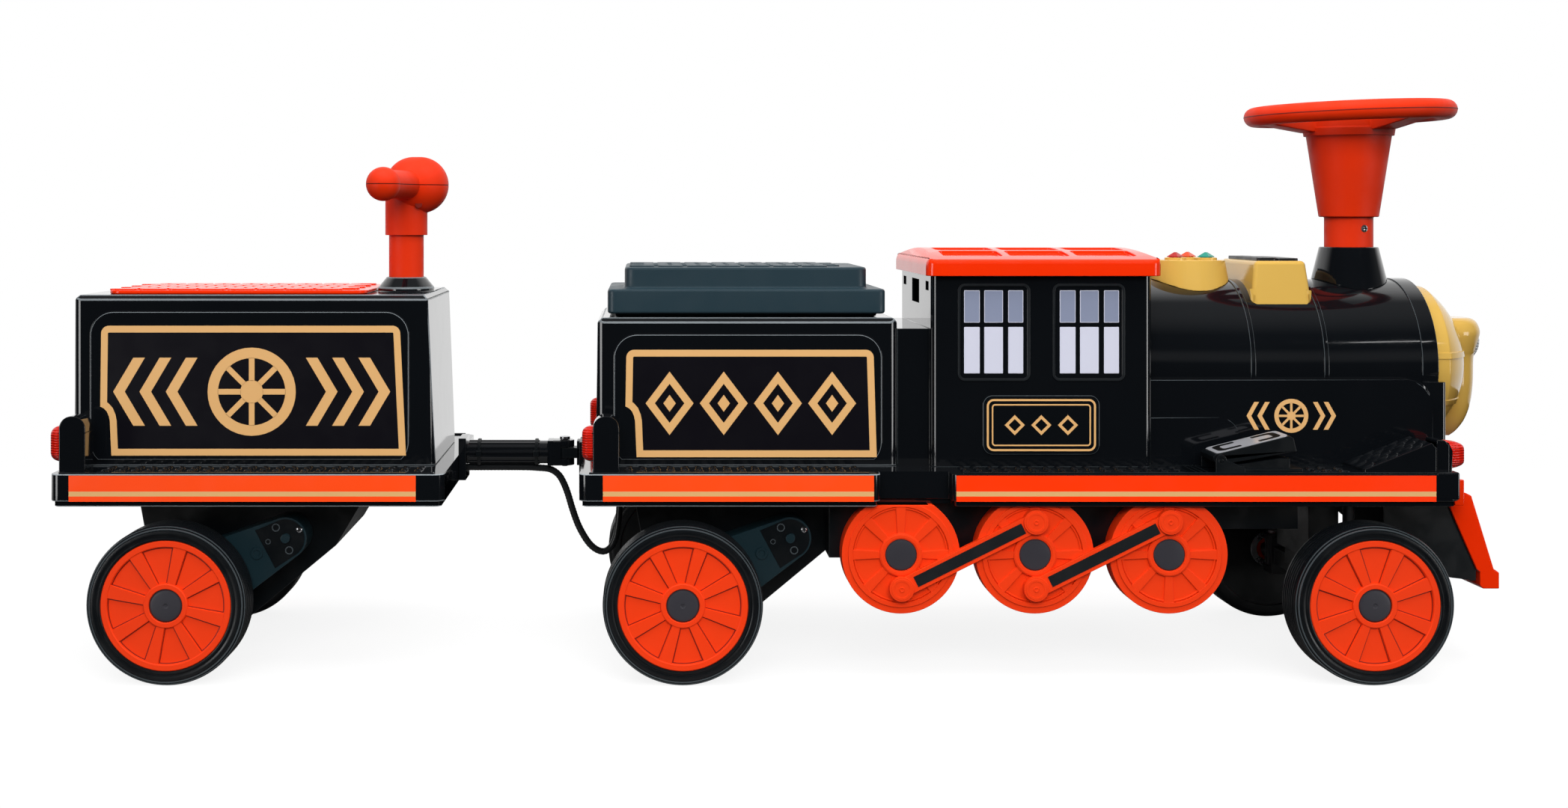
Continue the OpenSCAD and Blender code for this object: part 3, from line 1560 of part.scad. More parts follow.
wagon_deck();
wagon_box();
wagon_seat();
handle_post();
handle_lower_shell();
handle_upper_shell();
wagon_lenses();
wagon_underframe();
wagon_axle();
wagon_gearcases();
wagon_motors();
drawbar();
cable();
wagon_tyre_right();
wagon_disc_right();
wagon_tyre_left();
wagon_disc_left();
loco_deck();
loco_underframe();
tender_box();
tender_seat();
cab_shell();
cab_roof_seat();
boiler_shell();
smokebox_door();
headlamp_hood();
headlamp_lens();
button_pod();
red_button();
amber_button();
green_button();
media_pod();
media_panel();
funnel_base();
cowcatcher();
marker_lenses();
pedal_base();
pedal_plate();
wheel_trims();
hitch_bracket();
pivot_pins();
tender_axle();
tender_gearcases();
tender_motors();
battery();
front_axle_beam();
knuckle_right();
knuckle_left();
tie_rod();
steering_shaft();
steering_cone();
steering_wheel();
front_tyre_right();
front_disc_right();
front_tyre_left();
front_disc_left();
tender_tyre_right();
tender_disc_right();
tender_tyre_left();
tender_disc_left();
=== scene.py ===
import math

import bmesh
import bpy
from mathutils import Matrix, Vector


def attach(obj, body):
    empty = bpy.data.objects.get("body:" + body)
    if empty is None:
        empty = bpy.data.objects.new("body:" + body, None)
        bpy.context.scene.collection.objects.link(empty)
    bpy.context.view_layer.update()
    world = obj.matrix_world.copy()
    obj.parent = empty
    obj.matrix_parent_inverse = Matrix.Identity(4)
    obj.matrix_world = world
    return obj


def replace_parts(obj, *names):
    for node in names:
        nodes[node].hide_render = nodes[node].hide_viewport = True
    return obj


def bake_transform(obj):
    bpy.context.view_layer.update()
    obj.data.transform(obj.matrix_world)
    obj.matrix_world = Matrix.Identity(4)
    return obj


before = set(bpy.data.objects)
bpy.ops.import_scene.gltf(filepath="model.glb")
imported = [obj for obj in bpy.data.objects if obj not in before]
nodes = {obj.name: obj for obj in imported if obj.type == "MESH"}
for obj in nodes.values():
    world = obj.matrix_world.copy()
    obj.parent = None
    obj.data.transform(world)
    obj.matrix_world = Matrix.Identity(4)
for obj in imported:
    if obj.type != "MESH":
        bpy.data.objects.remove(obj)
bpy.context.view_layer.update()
scene = bpy.context.scene
MM = 0.001
RIGHT, LEFT = -1, 1
SIDES = ((RIGHT, "right"), (LEFT, "left"))

# Places and sizes of the train, in millimetres
WAGON_X0, WAGON_X1 = -937.0, -443.5
TENDER_X0 = -274.5
ENGINE_X0, ENGINE_X1 = 192.5, 828.5
WAGON_AXLE, TENDER_AXLE, FRONT_AXLE = -788.2, -144.7, 716.5
HITCH_X, COLUMN_X, DRAWBAR_Z = -301.0, 768.2, 263.0
CAB_X0, CAB_X1, BOILER_X1 = 177.5, 462.0, 841.5
DECK_Z, DECK_W, BOX_W, CAB_W, SADDLE_W = 262.0, 206.0, 128.0, 138.0, 122.0
BOILER_Z, BOILER_R = 387.0, 112.0
DOOR_R, DOOR_RIM, DOOR_DOME = 103.0, 20.0, 52.0
WHEEL_R, TRACK, TYRE_W = 100.0, 220.0, 54.0
TRIM_X, TRIM_PITCH, TRIM_Z, TRIM_FACE, CRANK = 130.0, 168.5, 159.0, 195.0, 42.0
STEER_Z, STEER_R, STEER_TILT = 724.5, 136.0, math.radians(1.7)
HEAD_X, HANDLE_Z = -502.7, 627.0
POD_TOP, BUTTON_POD_X, MEDIA_X0, MEDIA_X1 = 525.6, 549.5, 609.0, 692.0
PEDAL_X, PEDAL_Y, PEDAL_Z, PEDAL_RISE = 530.5, -170.0, 279.0, math.radians(14)


# Camera: level, square to the train's right side, framed by shifting the lens
camera_data = bpy.data.cameras.new("side_camera")
camera_data.lens = 41.465
camera_data.sensor_width = 36.0
camera_data.shift_x = 0.0895
camera_data.shift_y = -0.1217
camera = bpy.data.objects.new("side_camera", camera_data)
camera.location = (-0.1935, -2.464, 0.5887)
camera.rotation_euler = (math.pi / 2, 0, 0)
scene.collection.objects.link(camera)
scene.camera = camera
scene.view_settings.view_transform = "Standard"


# Shader groups and finishes

def shader_group(name, inputs, outputs):
    """A new shader group with its sockets, and its two end nodes."""
    tree = bpy.data.node_groups.new(name, "ShaderNodeTree")
    kinds = {"value": "NodeSocketFloat", "colour": "NodeSocketColor", "vector": "NodeSocketVector"}
    for socket, kind, default in inputs:
        made = tree.interface.new_socket(socket, in_out="INPUT", socket_type=kinds[kind])
        made.default_value = default
    for socket, kind in outputs:
        tree.interface.new_socket(socket, in_out="OUTPUT", socket_type=kinds[kind])
    return tree, tree.nodes.new("NodeGroupInput"), tree.nodes.new("NodeGroupOutput")


def feed(tree, socket, value):
    """Links a socket into another, or sets a plain number on it."""
    if hasattr(value, "is_linked"):
        tree.links.new(value, socket)
    else:
        socket.default_value = value


def math_node(tree, operation, a, b=None, c=None):
    """One calculation on up to three sockets or numbers."""
    node = tree.nodes.new("ShaderNodeMath")
    node.operation = operation
    for socket, value in zip(node.inputs, (a, b, c)):
        if value is not None:
            feed(tree, socket, value)
    return node.outputs[0]


def noise_node(tree, vector, scale, detail, rough=0.5):
    """Noise at a place, as a value."""
    node = tree.nodes.new("ShaderNodeTexNoise")
    node.inputs["Detail"].default_value = detail
    node.inputs["Roughness"].default_value = rough
    tree.links.new(vector, node.inputs["Vector"])
    feed(tree, node.inputs["Scale"], scale)
    return node.outputs[0]


def map_node(tree, value, low, high, to_low, to_high):
    """A smooth step from one range of values to another."""
    node = tree.nodes.new("ShaderNodeMapRange")
    node.interpolation_type = "SMOOTHSTEP"
    tree.links.new(value, node.inputs["Value"])
    ends = {"From Min": low, "From Max": high, "To Min": to_low, "To Max": to_high}
    for socket, number in ends.items():
        feed(tree, node.inputs[socket], number)
    return node.outputs[0]


def build_moulding_group():
    """Moulded plastic: slow change of tone, soft smudges and a fine grain."""
    tree, start, end = shader_group(
        "moulding_skin",
        [("Colour", "colour", (0.5, 0.5, 0.5, 1)), ("Tone", "value", 0.1),
         ("Grain Scale", "value", 900.0)],
        [("Colour", "colour"), ("Smudge", "value"), ("Grain", "value")])
    place = tree.nodes.new("ShaderNodeTexCoord").outputs["Object"]
    slow = noise_node(tree, place, 9.0, 3.0)
    swing = math_node(tree, "SUBTRACT", slow, 0.5)
    tone = math_node(tree, "MULTIPLY_ADD", swing, start.outputs["Tone"], 1.0)
    shade = tree.nodes.new("ShaderNodeVectorMath")
    shade.operation = "SCALE"
    tree.links.new(start.outputs["Colour"], shade.inputs[0])
    tree.links.new(tone, shade.inputs["Scale"])
    tree.links.new(shade.outputs[0], end.inputs["Colour"])
    smudge = map_node(tree, noise_node(tree, place, 26.0, 4.0, 0.6), 0.35, 0.7, 0.0, 1.0)
    tree.links.new(smudge, end.inputs["Smudge"])
    tree.links.new(noise_node(tree, place, start.outputs["Grain Scale"], 2.0), end.inputs["Grain"])
    return tree


def build_scuff_group():
    """Hairline scuffs from handling, in patches."""
    tree, start, end = shader_group(
        "handling_scuffs", [("Turn", "vector", (0.4, 0.3, 0.5))], [("Scuff", "value")])
    place = tree.nodes.new("ShaderNodeTexCoord").outputs["Object"]
    turn = tree.nodes.new("ShaderNodeMapping")
    turn.inputs["Scale"].default_value = (420.0, 9.0, 420.0)
    tree.links.new(place, turn.inputs["Vector"])
    tree.links.new(start.outputs["Turn"], turn.inputs["Rotation"])
    lines = map_node(tree, noise_node(tree, turn.outputs[0], 1.0, 1.0), 0.70, 0.76, 0.0, 1.0)
    patches = map_node(tree, noise_node(tree, place, 14.0, 2.0), 0.5, 0.65, 0.0, 1.0)
    tree.links.new(math_node(tree, "MULTIPLY", lines, patches), end.inputs["Scuff"])
    return tree


def build_rib_group():
    """Fine moulded ribs across a lens, as a height."""
    tree, start, end = shader_group("lens_ribs", [("Pitch", "value", 0.003)], [("Rib", "value")])
    place = tree.nodes.new("ShaderNodeTexCoord").outputs["Object"]
    split = tree.nodes.new("ShaderNodeSeparateXYZ")
    tree.links.new(place, split.inputs[0])
    turns = math_node(tree, "DIVIDE", split.outputs["Z"], start.outputs["Pitch"])
    wave = math_node(tree, "SINE", math_node(tree, "MULTIPLY", turns, math.pi))
    tree.links.new(math_node(tree, "ABSOLUTE", wave), end.inputs["Rib"])
    return tree


def build_parting_shade_group():
    """A dark line round a moulding at its parting line, at one height: painted shade of the seam."""
    tree, start, end = shader_group("parting_line", [("Height", "value", 0.5)], [("Seam", "value")])
    split = tree.nodes.new("ShaderNodeSeparateXYZ")
    tree.links.new(tree.nodes.new("ShaderNodeTexCoord").outputs["Object"], split.inputs[0])
    above = math_node(tree, "SUBTRACT", split.outputs["Z"], start.outputs["Height"])
    away = math_node(tree, "ABSOLUTE", above)
    tree.links.new(map_node(tree, away, 0.0004, 0.0009, 0.8, 0.0), end.inputs["Seam"])
    return tree


MOULDING = build_moulding_group()
SCUFFS = build_scuff_group()
RIBS = build_rib_group()
PARTING_SHADE = build_parting_shade_group()


def group_node(tree, group, **values):
    """A shader group placed in a material, with its own values."""
    node = tree.nodes.new("ShaderNodeGroup")
    node.node_tree = group
    for socket, value in values.items():
        node.inputs[socket.replace("_", " ")].default_value = value
    return node


def finish(name, colour, rough, spread, tone, grain, depth, coat=0.0, metallic=0.0, ribs=0.0, seam=0.0,
           **sockets):
    """A finish of its colour, roughness from rough to rough + spread, and grain of a depth in millimetres.
    A lens can have ribs of a pitch, and a moulding a parting line at a height, darkened as painted shade."""
    material = bpy.data.materials.new(name)
    material.use_nodes = True
    tree = material.node_tree
    shader = tree.nodes["Principled BSDF"]
    skin = group_node(tree, MOULDING, Colour=(*colour, 1), Tone=tone, Grain_Scale=grain)
    marks = group_node(tree, SCUFFS)
    paint = skin.outputs["Colour"]
    # Darkens the colour along the parting line: painted shade.
    if seam > 0:
        shade = tree.nodes.new("ShaderNodeVectorMath")
        shade.operation = "SCALE"
        tree.links.new(paint, shade.inputs[0])
        seam_shade = group_node(tree, PARTING_SHADE, Height=seam * MM).outputs["Seam"]
        tree.links.new(math_node(tree, "SUBTRACT", 1.0, seam_shade), shade.inputs["Scale"])
        paint = shade.outputs[0]
    tree.links.new(paint, shader.inputs["Base Color"])
    worn = math_node(tree, "MAXIMUM", skin.outputs["Smudge"], marks.outputs["Scuff"])
    tree.links.new(map_node(tree, worn, 0.0, 1.0, rough, rough + spread), shader.inputs["Roughness"])
    bump = tree.nodes.new("ShaderNodeBump")
    bump.inputs["Distance"].default_value = depth * MM
    tree.links.new(skin.outputs["Grain"], bump.inputs["Height"])
    normal = bump.outputs["Normal"]
    if ribs > 0:
        ribbed = tree.nodes.new("ShaderNodeBump")
        ribbed.inputs["Distance"].default_value = 0.6 * MM
        tree.links.new(group_node(tree, RIBS, Pitch=ribs * MM).outputs["Rib"], ribbed.inputs["Height"])
        tree.links.new(normal, ribbed.inputs["Normal"])
        normal = ribbed.outputs["Normal"]
    tree.links.new(normal, shader.inputs["Normal"])
    shader.inputs["Metallic"].default_value = metallic
    shader.inputs["Coat Weight"].default_value = coat
    shader.inputs["Coat Roughness"].default_value = 0.06
    for socket, value in sockets.items():
        shader.inputs[socket.replace("_", " ")].default_value = value
    return material


FINISHES = {
    "gloss_black": finish("gloss_black_moulding", (0.0030, 0.0038, 0.0050), 0.07, 0.04, 0.3, 200.0, 0.005,
                          coat=0.4),
    "frame_black": finish("grained_black_frame", (0.0022, 0.0034, 0.0044), 0.30, 0.12, 0.35, 1500.0, 0.05),
    "seat_black": finish("soft_black_seat", (0.0150, 0.0330, 0.0440), 0.36, 0.12, 0.2, 1700.0, 0.08),
    "red_gloss": finish("gloss_red_moulding", (0.79, 0.026, 0.001), 0.12, 0.04, 0.05, 300.0, 0.006,
                        Specular_IOR_Level=0.4),
    "red_satin": finish("satin_red_moulding", (0.80, 0.040, 0.003), 0.52, 0.12, 0.05, 1500.0, 0.06,
                        Specular_IOR_Level=0.22),
    "cream_gloss": finish("gloss_cream_moulding", (0.58, 0.358, 0.074), 0.09, 0.05, 0.05, 420.0, 0.006,
                          coat=0.3, Specular_IOR_Level=0.4),
    "tyre_rubber": finish("ribbed_tyre_rubber", (0.0022, 0.0031, 0.0042), 0.30, 0.14, 0.5, 1300.0, 0.05),
    "bright_steel": finish("zinc_plated_steel", (0.62, 0.63, 0.65), 0.25, 0.15, 0.2, 700.0, 0.02,
                           metallic=1.0),
    "painted_steel": finish("black_painted_steel", (0.012, 0.013, 0.014), 0.35, 0.12, 0.3, 900.0, 0.03),
    "panel_dark": finish("satin_dark_panel", (0.010, 0.011, 0.013), 0.30, 0.12, 0.2, 1500.0, 0.03),
    "battery_grey": finish("grey_battery_case", (0.09, 0.10, 0.11), 0.45, 0.12, 0.15, 1200.0, 0.05),
    "cable_sleeve": finish("cable_sleeve_rubber", (0.0080, 0.0090, 0.0100), 0.34, 0.16, 0.3, 1500.0, 0.05),
    "red_lens": finish("red_lamp_lens", (0.58, 0.009, 0.002), 0.10, 0.05, 0.15, 300.0, 0.02, ribs=3.2,
                       IOR=1.49, Transmission_Weight=0.1, Specular_IOR_Level=0.35),
    "clear_lens": finish("clear_lamp_lens", (0.86, 0.88, 0.90), 0.06, 0.05, 0.1, 300.0, 0.02, ribs=4.0,
                         IOR=1.49, Transmission_Weight=0.7),
    "jewel_red": finish("red_jewel", (0.55, 0.012, 0.008), 0.08, 0.05, 0.1, 300.0, 0.02, IOR=1.49,
                        Transmission_Weight=0.4),
    "jewel_amber": finish("amber_jewel", (0.85, 0.085, 0.012), 0.08, 0.05, 0.1, 300.0, 0.02, IOR=1.49,
                          Transmission_Weight=0.4),
    "jewel_green": finish("green_jewel", (0.010, 0.36, 0.27), 0.08, 0.05, 0.1, 300.0, 0.02, IOR=1.49,
                          Transmission_Weight=0.4),
}
cap_grey = finish("charcoal_cap", (0.030, 0.029, 0.036), 0.42, 0.12, 0.15, 1300.0, 0.05)
inlay_black = finish("dark_rod_inlay", (0.0085, 0.0100, 0.0115), 0.36, 0.12, 0.2, 1300.0, 0.04)
gold_print = finish("gold_lining_print", (0.70, 0.400, 0.155), 0.36, 0.10, 0.05, 2600.0, 0.015, coat=0.2)
red_grip = finish("satin_red_grip", (0.68, 0.027, 0.001), 0.50, 0.12, 0.05, 1500.0, 0.06,
                  Specular_IOR_Level=0.22)
red_handle = finish("satin_red_handle", (0.66, 0.025, 0.001), 0.50, 0.12, 0.05, 1500.0, 0.06, seam=HANDLE_Z,
                    Specular_IOR_Level=0.22)
red_print = finish("red_stripe_print", (0.98, 0.070, 0.007), 0.30, 0.08, 0.04, 2200.0, 0.010)
deep_print = finish("deep_red_stripe_print", (0.96, 0.037, 0.001), 0.34, 0.08, 0.04, 2200.0, 0.010,
                    Specular_IOR_Level=0.25)
dark_print = finish("dark_field_print", (0.0042, 0.0038, 0.0060), 0.34, 0.10, 0.2, 2600.0, 0.015,
                    Specular_IOR_Level=0.2)
pane_grey = finish("grey_pane_print", (0.225, 0.255, 0.360), 0.30, 0.10, 0.12, 2200.0, 0.012, coat=0.2)
pane_light = finish("light_pane_print", (0.60, 0.61, 0.72), 0.30, 0.10, 0.06, 2200.0, 0.012, coat=0.2)
silver_print = finish("silver_pedal_print", (0.55, 0.56, 0.60), 0.30, 0.12, 0.1, 1800.0, 0.02, metallic=0.5)
# Window surrounds: satin black, painted a little lighter as a highlight on their raised edges.
lit_rim_black = finish("satin_black_rim", (0.010, 0.012, 0.014), 0.28, 0.10, 0.15, 1300.0, 0.03)
# The black of the frames, painted a lighter slate on the gear cases as if lit: painted light.
lit_case_black = finish("slate_gear_case", (0.0065, 0.0190, 0.0250), 0.36, 0.12, 0.3, 1500.0, 0.05)
# Pale greys for the rounded edges, rims and ridges of black parts: painted highlight, not a colour of the
# plastic.
painted_edge_highlight = finish("polished_black_edge", (0.150, 0.168, 0.180), 0.24, 0.10, 0.2, 900.0, 0.01)
painted_rim_highlight = finish("polished_deck_rim", (0.260, 0.290, 0.310), 0.24, 0.10, 0.2, 900.0, 0.01)
painted_soft_highlight = finish("soft_black_edge", (0.050, 0.060, 0.066), 0.20, 0.10, 0.2, 900.0, 0.01)
# Dark red painted as shade: along the spokes, in grooves and seams, in dimples.
painted_shade_red = finish("shaded_red_seam", (0.200, 0.007, 0.001), 0.55, 0.10, 0.1, 1500.0, 0.02)
# Near-black painted as the shade inside screw slots and the pedal pad's slots.
slot_shade_black = finish("deep_hole_black", (0.002, 0.002, 0.002), 0.7, 0.1, 0.2, 900.0, 0.02)


# Making pieces

def at(x, y, z):
    """A place in millimetres."""
    return Matrix.Translation((x * MM, y * MM, z * MM))


def dress(mesh, materials, crease):
    """Smooth shading with hard edges past the crease angle, and the materials."""
    mesh.polygons.foreach_set("use_smooth", [True] * len(mesh.polygons))
    mesh.set_sharp_from_angle(angle=math.radians(crease))
    for material in materials:
        mesh.materials.append(material)


def final_mesh(obj):
    """A plain mesh of an object with its modifiers."""
    return bpy.data.meshes.new_from_object(obj.evaluated_get(bpy.context.evaluated_depsgraph_get()))


def make_piece(name, bm, body, slot, material=None, crease=32.0, sheen=None):
    """A finished piece from a bmesh in metres: smooth, with hard edges kept, riding on its body."""
    bmesh.ops.remove_doubles(bm, verts=bm.verts, dist=2e-6)
    bmesh.ops.dissolve_degenerate(bm, dist=1e-7, edges=bm.edges)
    bmesh.ops.recalc_face_normals(bm, faces=bm.faces)
    mesh = bpy.data.meshes.new(name)
    bm.to_mesh(mesh)
    bm.free()
    dress(mesh, [material or FINISHES[slot]] + ([sheen] if sheen else []), crease)
    obj = bpy.data.objects.new(name, mesh)
    scene.collection.objects.link(obj)
    even = obj.modifiers.new("even_shading", "WEIGHTED_NORMAL")
    even.keep_sharp = True
    plain = final_mesh(obj)
    obj.modifiers.clear()
    obj.data = plain
    bpy.data.meshes.remove(mesh)
    plain.name = name
    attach(obj, body)
    return obj


SHARP = math.radians(24.0)


def moulded(node, body, slot, edge=1.2, steps=2, place=None, material=None, sheen=None, shines=None,
            nudge=None):
    """A CAD solid with its sharp edges rounded, as a mould would leave them: by edge, or as place says.
    With a sheen, the outer edges get that pale finish as a painted highlight: all of them, or those that
    shines picks.
    Small parts of it can be nudged along X."""
    bm = bmesh.new()
    bm.from_mesh(nodes[node].data)
    bmesh.ops.remove_doubles(bm, verts=bm.verts, dist=2e-5)
    if nudge:
        for v in bm.verts:
            v.co.x += nudge(v.co / MM) * MM
    bmesh.ops.dissolve_limit(bm, angle_limit=math.radians(0.4), verts=bm.verts, edges=bm.edges)
    bmesh.ops.recalc_face_normals(bm, faces=bm.faces)
    for face in bm.faces:
        face.material_index = 0
    groups = {}
    for e in bm.edges:
        if len(e.link_faces) == 2 and e.calc_face_angle(0.0) > SHARP:
            middle = (e.verts[0].co + e.verts[1].co) / (2 * MM)
            size = place(middle) if place else edge
            if size > 0:
                # Outer edges chosen here get the sheen finish on their bevels: a painted highlight.
                bright = bool(sheen) and e.is_convex and (shines is None or shines(middle))
                groups.setdefault((size, bright), []).append(e)
    for size, bright in sorted(groups):
        live = [e for e in groups[size, bright] if e.is_valid]
        bmesh.ops.bevel(bm, geom=live, offset=size * MM, offset_type="OFFSET", segments=steps, profile=0.5,
                        affect="EDGES", clamp_overlap=False, loop_slide=True, harden_normals=False,
                        material=1 if bright else -1)
    obj = make_piece(node + "_moulding", bm, body, slot, material, 40.0, sheen)
    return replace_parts(obj, node)


def lathe(profile, centre, side, segments=96):
    """A closed profile of (radius, outward) in millimetres spun about a line along Y."""
    bm = bmesh.new()
    x, y, z = centre
    rings = []
    for k in range(segments):
        a = 2 * math.pi * k / segments
        rings.append([bm.verts.new(((x + r * math.cos(a)) * MM, (y + side * h) * MM,
                                    (z + r * math.sin(a)) * MM)) for r, h in profile])
    count = len(profile)
    for k in range(segments):
        here, there = rings[k], rings[(k + 1) % segments]
        for i in range(count):
            j = (i + 1) % count
            bm.faces.new((here[i], here[j], there[j], there[i]))
    bmesh.ops.remove_doubles(bm, verts=bm.verts, dist=2e-6)
    return bm


def bridge(bm, loops):
    """Faces between closed loops of points, one after the other, and a cap at both ends."""
    for low, high in zip(loops, loops[1:]):
        n = len(low)
        for k in range(n):
            bm.faces.new((low[k], low[(k + 1) % n], high[(k + 1) % n], high[k]))
    bm.faces.new(loops[0])
    bm.faces.new(loops[-1])


def add_bm(target, part, matrix=None):
    """Adds a second bmesh to the first, placed by a matrix, and frees it."""
    scratch = bpy.data.meshes.new("scratch")
    part.to_mesh(scratch)
    part.free()
    if matrix is not None:
        scratch.transform(matrix)
    target.from_mesh(scratch)
    bpy.data.meshes.remove(scratch)
    return target


def rounded(points, radii, steps=6):
    """A closed outline with its corners rounded, each by its own radius."""
    out = []
    count = len(points)
    for i in range(count):
        p, before, after = (Vector(points[k % count]) for k in (i, i - 1, i + 1))
        r = radii[i] if hasattr(radii, "__len__") else radii
        if r <= 0:
            out.append(tuple(p))
            continue
        a, b = (before - p).normalized(), (after - p).normalized()
        half = a.angle(b) / 2
        centre = p + (a + b).normalized() * (r / math.sin(half))
        start, stop = p + a * (r / math.tan(half)), p + b * (r / math.tan(half))
        for k in range(steps + 1):
            q = start.lerp(stop, k / steps) - centre
            out.append(tuple(centre + q.normalized() * r))
    return out


def inset_outline(points, gap):
    """A counter-clockwise outline moved inwards by gap, corner by corner."""
    out = []
    count = len(points)
    for i in range(count):
        p, before, after = (Vector(points[k % count]) for k in (i, i - 1, i + 1))
        d1, d2 = (p - before).normalized(), (after - p).normalized()
        n1, n2 = Vector((-d1.y, d1.x)), Vector((-d2.y, d2.x))
        n = n1 + n2
        out.append(tuple(p + n * (gap / max(0.2, n.dot(n1)))))
    return out


def oblong(x0, x1, z0, z1, r=0.0, steps=5):
    """An upright oblong with round corners."""
    return rounded([(x0, z0), (x1, z0), (x1, z1), (x0, z1)], r, steps)


def disc_outline(x, z, r, count=40):
    """A round outline."""
    angles = [2 * math.pi * k / count for k in range(count)]
    return [(x + r * math.cos(a), z + r * math.sin(a)) for a in angles]


def on_side(side, y):
    """Places a flat drawing of X and Z on the side face at y, its thickness outwards."""
    return Matrix(((1, 0, 0, 0), (0, 0, side, side * y * MM), (0, 1, 0, 0), (0, 0, 0, 1)))


def prism(outline, thick, matrix, hole=None, edge=0.0):
    """A plate from an outline in millimetres, with an optional hole and a rounded upper rim."""
    bm = bmesh.new()
    loops = []
    for points in (outline, hole):
        if points is not None:
            loops.append([[bm.verts.new((x * MM, y * MM, z * MM)) for x, y in points]
                          for z in (0.0, thick)])
    for low, high in loops:
        n = len(low)
        for i in range(n):
            bm.faces.new((low[i], low[(i + 1) % n], high[(i + 1) % n], high[i]))
    if hole is None:
        bm.faces.new(loops[0][0])
        bm.faces.new(loops[0][1])
    else:
        for k in (0, 1):
            outer, inner = loops[0][k], loops[1][k]
            n = len(outer)
            for i in range(n):
                bm.faces.new((outer[i], outer[(i + 1) % n], inner[(i + 1) % n], inner[i]))
    if edge > 0:
        rims = [e for low, high in loops for e in
                (bm.edges.get((high[i], high[(i + 1) % len(high)])) for i in range(len(high)))]
        bmesh.ops.bevel(bm, geom=rims, offset=edge * MM, offset_type="OFFSET", segments=3, profile=0.5,
                        affect="EDGES", clamp_overlap=False)
    bmesh.ops.recalc_face_normals(bm, faces=bm.faces)
    bm.transform(matrix)
    return bm


def block(x0, x1, y0, y1, z0, z1, edge=0.0, steps=2):
    """A box in millimetres with rounded edges."""
    bm = bmesh.new()
    bmesh.ops.create_cube(bm, size=1.0)
    bm.transform(at((x0 + x1) / 2, (y0 + y1) / 2, (z0 + z1) / 2)
                 @ Matrix.Diagonal(((x1 - x0) * MM, (y1 - y0) * MM, (z1 - z0) * MM, 1)))
    if edge > 0:
        bmesh.ops.bevel(bm, geom=bm.edges[:], offset=edge * MM, offset_type="OFFSET", segments=steps,
                        profile=0.5, affect="EDGES", clamp_overlap=True)
    return bm


def side_block(side, x0, x1, inside, outside, z0, z1, edge, steps=2):
    """A block on one side of the train, between two distances from its middle."""
    y0, y1 = sorted((side * inside, side * outside))
    return block(x0, x1, y0, y1, z0, z1, edge, steps)


def printed(name, shapes, side, y, thick, material, body):
    """Flat prints on one side face: every shape is an outline, or an outline with a hole."""
    bm = bmesh.new()
    for shape in shapes:
        outline, hole = shape if isinstance(shape, tuple) else (shape, None)
        add_bm(bm, prism(outline, thick, on_side(side, y), hole))
    return make_piece(name, bm, body, None, material)


# Copies by geometry nodes

SOCKETS = {"whole": "NodeSocketInt", "number": "NodeSocketFloat", "object": "NodeSocketObject",
           "finish": "NodeSocketMaterial"}


def copies_group(name, inputs):
    """A geometry group that sets copies of a part on points, with the inputs that place them."""
    tree = bpy.data.node_groups.new(name, "GeometryNodeTree")
    for label, kind in inputs + [("Part", "object"), ("Finish", "finish")]:
        tree.interface.new_socket(label, in_out="INPUT", socket_type=SOCKETS[kind])
    tree.interface.new_socket("Geometry", in_out="OUTPUT", socket_type="NodeSocketGeometry")
    return tree, tree.nodes.new("NodeGroupInput")


def close_copies(tree, start, count, place, turn):
    """Points at place, a copy of the part on each, turned, made real and given its finish."""
    points = tree.nodes.new("GeometryNodePoints")
    feed(tree, points.inputs["Count"], count)
    tree.links.new(place, points.inputs["Position"])
    part = tree.nodes.new("GeometryNodeObjectInfo")
    tree.links.new(start.outputs["Part"], part.inputs["Object"])
    copies = tree.nodes.new("GeometryNodeInstanceOnPoints")
    tree.links.new(points.outputs[0], copies.inputs["Points"])
    tree.links.new(part.outputs["Geometry"], copies.inputs["Instance"])
    angles = tree.nodes.new("FunctionNodeEulerToRotation")
    tree.links.new(turn, angles.inputs[0])
    tree.links.new(angles.outputs[0], copies.inputs["Rotation"])
    real = tree.nodes.new("GeometryNodeRealizeInstances")
    tree.links.new(copies.outputs[0], real.inputs[0])
    paint = tree.nodes.new("GeometryNodeSetMaterial")
    tree.links.new(real.outputs[0], paint.inputs["Geometry"])
    tree.links.new(start.outputs["Finish"], paint.inputs["Material"])
    tree.links.new(paint.outputs[0], tree.nodes.new("NodeGroupOutput").inputs[0])
    return tree


def vector_node(tree, x=0.0, y=0.0, z=0.0):
    """Three sockets or numbers as one vector."""
    node = tree.nodes.new("ShaderNodeCombineXYZ")
    for socket, value in zip(node.inputs, (x, y, z)):
        feed(tree, socket, value)
    return node.outputs[0]


def build_ring_copies():
    """Copies turned about Y in a ring."""
    tree, start = copies_group("copies_in_a_ring", [("Count", "whole"), ("Phase", "number")])
    index = tree.nodes.new("GeometryNodeInputIndex").outputs[0]
    share = math_node(tree, "DIVIDE", index, start.outputs["Count"])
    first = math_node(tree, "MULTIPLY", start.outputs["Phase"], -1.0)
    turn = math_node(tree, "MULTIPLY_ADD", share, -2 * math.pi, first)
    return close_copies(tree, start, start.outputs["Count"], vector_node(tree), vector_node(tree, y=turn))


